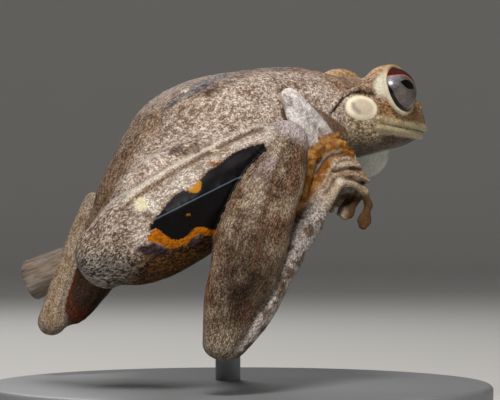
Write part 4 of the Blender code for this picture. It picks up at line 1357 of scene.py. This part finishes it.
def crease_filling(body):
    """Where the skin bridges the hollow between two forms, from 0 to 1."""
    off = body.off
    thigh = near(off["thigh"], 1.6) * near(off["trunk"], 1.6) * 0.5
    arm = np.maximum(near(off["arm"], 1.3), near(off["forearm"], 0.5)) * near(off["trunk"], 1.3)
    lips = near(off["lips"], 0.4) * near(off["trunk"], 0.4) * 0.3
    ankle = near(off["tarsus"], 1.0) * near(off["foot"], 1.0)
    wrist = near(off["forearm"], 0.9) * near(off["hand"], 0.9)
    soft = np.max([thigh, arm, lips, ankle, wrist], axis=0)
    for side in (1, -1):
        offset = body.points - np.array(on_side(EYE_CENTRE, side))
        lid = rise(5.2 - reach_to(body.points, on_side(EYE_CENTRE, side)), 0, 1.5)
        soft = np.maximum(soft, lid * rise(0.35 - offset @ eye_axis(side), 0, 0.6))
    return soft


def add_node(tree, kind, settings=None, inputs=None):
    """A new node with its settings, and values or links for its inputs. Returns its outputs."""
    node = tree.nodes.new(kind)
    for key, value in (settings or {}).items():
        setattr(node, key, value)
    for key, value in (inputs or {}).items():
        if isinstance(value, bpy.types.NodeSocket):
            tree.links.new(value, node.inputs[key])
        else:
            node.inputs[key].default_value = value
    return node.outputs


class Shader:
    """Short names for the nodes that the materials use, over one material's tree."""

    def __init__(self, name):
        self.material = bpy.data.materials.new(name)
        self.material.use_nodes = True
        self.tree = self.material.node_tree
        self.place = self.add("TexCoord")["Object"]

    def add(self, kind, inputs=None, **settings):
        """Outputs of a new node with these inputs and settings."""
        return add_node(self.tree, "ShaderNode" + kind, settings, inputs)

    def math(self, operation, first, second=0.0, third=0.0):
        return self.add("Math", {0: first, 1: second, 2: third}, operation=operation)[0]

    def times(self, first, second):
        return self.math("MULTIPLY", first, second)

    def plus(self, first, factor, base):
        """The first value times the factor, added to the base."""
        return self.math("MULTIPLY_ADD", first, factor, base)

    def rest(self, value):
        return self.math("SUBTRACT", 1.0, value)

    def mix(self, factor, first, second, kind="MIX"):
        """Mixes two colours, each a node's output or three plain values."""
        first, second = ((*v, 1.0) if isinstance(v, np.ndarray) else v for v in (first, second))
        return self.add("Mix", {0: factor, 6: first, 7: second}, data_type="RGBA", blend_type=kind)[2]

    def blend(self, factor, first, second):
        return self.add("Mix", {0: factor, 2: first, 3: second}, data_type="FLOAT")[0]

    def ramp(self, value, low, high, to_low=0.0, to_high=1.0):
        inputs = {0: value, 1: low, 2: high, 3: to_low, 4: to_high}
        return self.add("MapRange", inputs, interpolation_type="SMOOTHSTEP", clamp=True)[0]

    def noise(self, size, detail, roughness, place=None):
        inputs = {"Vector": place or self.place, "Scale": 1 / (size * MM)}
        return self.add("TexNoise", {**inputs, "Detail": detail, "Roughness": roughness})["Fac"]

    def bent_place(self, size, reach):
        """Places shifted a little by noise, so that cells aren't even."""
        noise = self.add("TexNoise", {"Vector": self.place, "Scale": 1 / (size * MM)})["Color"]
        inputs = {0: noise, 1: (reach * MM,) * 3, 2: self.place}
        return self.add("VectorMath", inputs, operation="MULTIPLY_ADD")[0]

    def cells(self, size, place):
        """Distance from the middle of each cell, and one random value for each cell."""
        outputs = self.add("TexVoronoi", {"Vector": place, "Scale": 1 / (size * MM)}, feature="F1")
        return outputs["Distance"], self.add("SeparateColor", {0: outputs["Color"]})[0]

    def attribute(self, name, output="Fac"):
        return self.add("Attribute", attribute_name=name)[output]

    def bump(self, height, distance, strength):
        return self.add("Bump", {"Strength": strength, "Distance": distance * MM, "Height": height})[0]

    def finish(self, **inputs):
        """Sets or links the main surface's inputs and returns the material."""
        principled = self.tree.nodes["Principled BSDF"]
        for key, value in inputs.items():
            socket = principled.inputs[key.replace("_", " ")]
            if isinstance(value, bpy.types.NodeSocket):
                self.tree.links.new(value, socket)
            else:
                socket.default_value = (*value, 1.0) if socket.type == "RGBA" else value
        return self.material


def skin_material():
    """Granular frog skin: pale granules on darker grooves, with crisp black, orange and cream marks."""
    shader = Shader("granular frog skin")
    bent = shader.bent_place(0.5, 0.12)
    fine, fine_random = shader.cells(GRANULE, bent)
    wide, wide_random = shader.cells(COARSE_GRANULE, bent)
    coarse = shader.attribute("coarse")
    grain = shader.attribute("grain")
    bead = shader.blend(coarse, shader.ramp(fine, 0.85, 0.3), shader.ramp(wide, 0.85, 0.3))
    random = shader.blend(coarse, fine_random, wide_random)
    flow = shader.attribute("flow", "Vector")
    speckle = shader.ramp(shader.noise(0.22, 3.0, 0.7, flow), 0.4, 0.6)
    streak = shader.ramp(shader.noise(0.12, 2.0, 0.6, flow), 0.4, 0.62)
    patches = shader.ramp(shader.noise(1.3, 4.0, 0.7, flow), 0.42, 0.62)
    amount = shader.plus(patches, 0.45, shader.plus(streak, 0.35, speckle))
    amount = shader.times(amount, shader.attribute("mottle"))
    level = shader.times(shader.plus(random, 0.4, 0.85), shader.rest(amount))
    level = shader.times(level, shader.plus(bead, 0.45, 0.55))
    level = shader.blend(grain, 0.7, level)
    colour = shader.mix(level, shader.attribute("deep", "Color"), shader.attribute("pale", "Color"))
    groove = shader.times(shader.rest(bead), grain)
    colour = shader.mix(shader.times(groove, 0.35), colour, linear("2E2018"))
    wobble = shader.math("SUBTRACT", shader.noise(0.22, 3.0, 0.6), 0.5)
    on_thigh = shader.ramp(shader.attribute("thigh"), -0.03, 0.03)
    cover = {}
    for name, spread, low, high in MARK_EDGES:
        cover[name] = shader.ramp(shader.plus(wobble, spread, shader.attribute(name)), low, high)
    for name in ("orange", "dark", "amber"):
        cover[name] = shader.times(cover[name], on_thigh)
    fringe = shader.ramp(shader.plus(wobble, 1.0, shader.attribute("dark")), -0.4, 0.05)
    colour = shader.mix(shader.times(shader.times(fringe, 0.7), on_thigh), colour, linear("5A3A22"))
    for name, strength, between_beads, on_beads in MARK_TINTS:
        tint = shader.mix(bead, linear(between_beads), linear(on_beads))
        colour = shader.mix(shader.times(cover[name], strength), colour, tint)
    orange = shader.mix(shader.times(amount, 0.9), linear("B06604"), linear("6A3602"))
    colour = shader.mix(cover["orange"], colour, orange)
    colour = shader.mix(cover["dark"], colour, shader.mix(speckle, linear("040304"), linear("0A0506")))
    colour = shader.mix(shader.times(cover["amber"], 0.85), colour, linear("B07405"))
    # Painted sheen: a bluish grey line along the ridge in the black patch
    ridge = shader.ramp(shader.math("ABSOLUTE", shader.attribute("ridge")), 0.1, 0.03, 0.0, 0.8)
    colour = shader.mix(shader.times(ridge, cover["dark"]), colour, linear("4E5866"))
    # Painted shade in the mouth's seam and under the fold above the ear
    colour = shader.mix(shader.times(cover["line"], 0.9), colour, linear("20120B"))
    plain = shader.math("MAXIMUM", cover["dark"], cover["orange"])
    relief = shader.times(shader.rest(plain), grain)
    normal = shader.bump(shader.times(bead, relief), 0.05, 0.8)
    roughness = shader.plus(cover["dark"], -0.06, 0.5)
    return shader.finish(Base_Color=colour, Roughness=roughness, Normal=normal, Specular_IOR_Level=0.09)


def iris_colours(home):
    """Netted silver iris, slanting black pupil, dark red top, the dark edge under the lids and a painted
    bluish reflection on its upper back part.
    """
    gaze = np.array(Vector(GAZE_AXIS).normalized())
    ahead = unit(np.array((1.0, 0.0, 0.0)) - gaze[0] * gaze)
    across, height = home @ ahead, home @ np.cross(gaze, ahead)
    slant = math.radians(PUPIL_SLANT)
    level = across * math.cos(slant) + height * math.sin(slant)
    lift = height * math.cos(slant) - across * math.sin(slant)
    brow = height - 1.15 + 0.62 * np.clip(across + 0.1, 0, 2) ** 1.2
    bar = near(lift, 0.28) * rise(-level, 0.7, 0.9) * rise(level, -1.75, -1.45)
    pupil = 1.0 - np.abs(level / 1.05) ** 1.5 - np.abs(lift / 0.58) ** 1.5
    crescent = 0.16 + 0.42 * rise(-height - 0.5 * across, 0.2, 1.8)
    colours = np.tile(linear("554D4A"), (len(home), 1))
    for mask, code in (
        # Painted reflection: pale bluish grey on the iris's upper back part
        (rise(-across, 0.2, 2.0) * rise(height, -0.6, 1.0), "8E8A94"),
        (rise(-height, 0.6, 2.0), "6A605C"),
        (rise(brow, -0.14, -0.02), "A8745A"),
        (rise(brow, 0.0, 0.1), "4A1009"),
        (rise(brow, 0.5, 0.95), "1C0806"),
        (bar * 0.7, "5A5B60"),
        (rise(pupil, 0, 0.16), "030303"),
        (rise(crescent + LID_HEIGHT - home @ eye_axis(), 0, 0.08), "060507"),
    ):
        colours += (linear(code) - colours) * mask[:, None]
    return colours


def build_eye(side):
    """Wet eyeball with its painted iris."""
    name = "eye_right_ball" if side == 1 else "eye_left_ball"
    centre = np.array(on_side(EYE_CENTRE, side))
    points, faces = ball_shell(centre, (EYE_RADIUS,) * 3, on_side(GAZE_AXIS, side), 160, 120)
    eye = make_piece(name, [(points, faces)])
    add_attribute(eye.data, "iris", "FLOAT_COLOR", iris_colours((points - centre) * (1, side, 1)))
    shader = Shader("wet frog eye " + ("right" if side == 1 else "left"))
    net = shader.ramp(shader.noise(0.16, 3.0, 0.65), 0.42, 0.6, 0.62, 1.12)
    tint = shader.add("CombineColor", {0: net, 1: net, 2: net})[0]
    colour = shader.mix(1.0, shader.attribute("iris", "Color"), tint, "MULTIPLY")
    gloss = {"Roughness": 0.25, "Coat_Weight": 0.22, "Coat_Roughness": 0.12, "Specular_IOR_Level": 0.2}
    eye.data.materials.append(shader.finish(Base_Color=colour, **gloss))
    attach(eye, "root")
    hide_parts("eye_right" if side == 1 else "eye_left")


def build_perch():
    """Cut length of twig with fine bark ridges and two cut ends."""
    form = Form([(*row, row[3]) for row in PERCH], per_span=14, caps=(0.12, 0.12))
    points, faces = form.shell(sides=96, cap_rings=3)
    along, around, _ = form.place(points)
    inside = rise(along, 0.0, 0.1) * rise(form.along[-1] - along, 0.0, 0.1)
    ridge = cloud(np.column_stack([along * 0.25, np.cos(around) * 3, np.sin(around) * 3]), 0.5, 51)
    knots = np.zeros(len(points))
    for middle, turn, reach in TWIG_KNOTS:
        knots += near(np.linalg.norm(np.column_stack([along - middle, (around - turn) * 2]), axis=1), reach)
    outward = points - between(along, form.along, form.centres)
    outward /= np.maximum(np.linalg.norm(outward, axis=1), TINY)[:, None]
    points = points + outward * (inside * (0.12 * (ridge - 0.8) + 0.2 * knots))[:, None]
    perch = make_piece("twig", [(points, faces)])
    flow = np.column_stack([along * 0.12, np.cos(around) * 2, np.sin(around) * 2])
    add_attribute(perch.data, "flow", "FLOAT_VECTOR", flow * MM)
    shader = Shader("weathered bark")
    streak = shader.attribute("flow", "Vector")
    grain = shader.noise(0.4, 5.0, 0.7, streak)
    colour = shader.mix(shader.ramp(grain, 0.3, 0.7), linear("3E3128"), linear("8C7C6C"))
    worn = shader.ramp(shader.noise(1.4, 3.0, 0.6, streak), 0.5, 0.72, 0.0, 0.5)
    colour = shader.mix(worn, colour, linear("A2988C"))
    normal = shader.bump(grain, 0.12, 0.9)
    perch.data.materials.append(shader.finish(Base_Color=colour, Roughness=0.85, Normal=normal))
    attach(perch, "root")
    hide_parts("perch")


def build_stand():
    """Smooth round base and the short rod under the twig."""
    shoulder = BASE_HEIGHT - BASE_CHAMFER
    profile = [(0.0, 0.0), (BASE_RADIUS - BASE_FOOT, 0.0), (BASE_RADIUS, BASE_FOOT), (BASE_RADIUS, shoulder)]
    profile += [(BASE_RADIUS - inward, shoulder + up) for up, inward in quarter_round(BASE_CHAMFER, 8)]
    profile.append((0.0, BASE_HEIGHT))
    base = make_piece("base", [turned_shell(profile, (*STAND_CENTRE, 0.0), (0, 0, 1), 192)])
    shader = Shader("satin grey painted steel")
    base.data.materials.append(shader.finish(Base_Color=linear("77787A"), Roughness=0.45))
    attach(base, "root")
    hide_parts("stand_base")
    low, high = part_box("stand_rod")
    middle = [0.5 * (a + b) / MM for a, b in zip(low, high)]
    reach = 0.5 * (high[2] - low[2]) / MM
    place = (middle[0] + STAND_CENTRE[0], middle[1] + STAND_CENTRE[1], middle[2])
    radius = 0.5 * (high[0] - low[0]) / MM
    profile = [(0.0, -reach), (radius, -reach), (radius, reach - 0.1), (radius - 0.1, reach), (0.0, reach)]
    rod = make_piece("rod", [turned_shell(profile, place, (0, 0, 1), 64)])
    shader = Shader("brushed steel")
    rod.data.materials.append(shader.finish(Base_Color=linear("D2D3D5"), Roughness=0.6, Metallic=0.85))
    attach(rod, "root")
    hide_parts("stand_rod")


def build_camera():
    """Level view from behind the frog's right side, at the photo's distance and framing."""
    turn = math.radians(VIEW_TURN)
    data = bpy.data.cameras.new("camera")
    data.lens = CAMERA_LENS
    data.sensor_width = CAMERA_WIDTH
    data.clip_start = 0.01
    data.clip_end = 20.0
    camera = bpy.data.objects.new("camera", data)
    back = Vector((math.sin(turn), math.cos(turn), 0.0)) * (CAMERA_DISTANCE * MM)
    camera.location = row_place(CAMERA_TARGET) - back
    camera.rotation_euler = (math.pi / 2, 0.0, -turn)
    bpy.context.scene.collection.objects.link(camera)
    bpy.context.scene.camera = camera


def area_light(name, place, aim, size, power, colour):
    """A round soft light, its place, aim and size in table millimetres."""
    data = bpy.data.lights.new(name, "AREA")
    data.shape = "DISK"
    data.size = size * MM
    data.energy = power
    data.color = colour
    light = bpy.data.objects.new(name, data)
    light.location = row_place(place)
    light.rotation_euler = (row_place(aim) - light.location).to_track_quat("-Z", "Y").to_euler()
    bpy.context.scene.collection.objects.link(light)


def build_studio():
    """Soft lights and a pale floor that curves up far behind the model."""
    world = bpy.data.worlds.new("studio")
    world.use_nodes = True
    background = world.node_tree.nodes["Background"]
    background.inputs["Color"].default_value = ROOM_LIGHT
    background.inputs["Strength"].default_value = ROOM_STRENGTH
    bpy.context.scene.world = world
    bpy.context.scene.view_settings.view_transform = "Standard"
    for light in LIGHTS:
        area_light(*light)
    profile = [(0.0, 0.0), (FLOOR_RADIUS, 0.0)]
    profile += [(FLOOR_RADIUS + across, up) for across, up in quarter_round(FLOOR_CURVE, 12)]
    profile += [(FLOOR_RADIUS + FLOOR_CURVE, FLOOR_WALL), (0.0, FLOOR_WALL)]
    points, faces = turned_shell(profile, (0.0, 0.0, 0.0), (0, 0, 1), 96)
    open_faces = [face for face in faces if len(points) - 1 not in face]
    floor = make_piece("floor", [(points[:-1], open_faces)], scale=False)
    shader = Shader("pale studio floor")
    floor.data.materials.append(shader.finish(Base_Color=linear("C4C2BE"), Roughness=0.8))


def main():
    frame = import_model()
    skin = build_skin(body_forms())
    skin.data.transform(Matrix.Scale(MM, 4) @ Matrix.Translation((-STAND_CENTRE[0], -STAND_CENTRE[1], 0.0)))
    skin.data.materials.append(skin_material())
    for polygon in skin.data.polygons:
        polygon.use_smooth = True
    flesh = [name for name in frame["nodes"] if not name.startswith(("eye_", "perch", "stand_"))]
    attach(skin, "root")
    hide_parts(*flesh)
    for side in (1, -1):
        build_eye(side)
    build_perch()
    build_stand()
    build_studio()
    build_camera()


main()
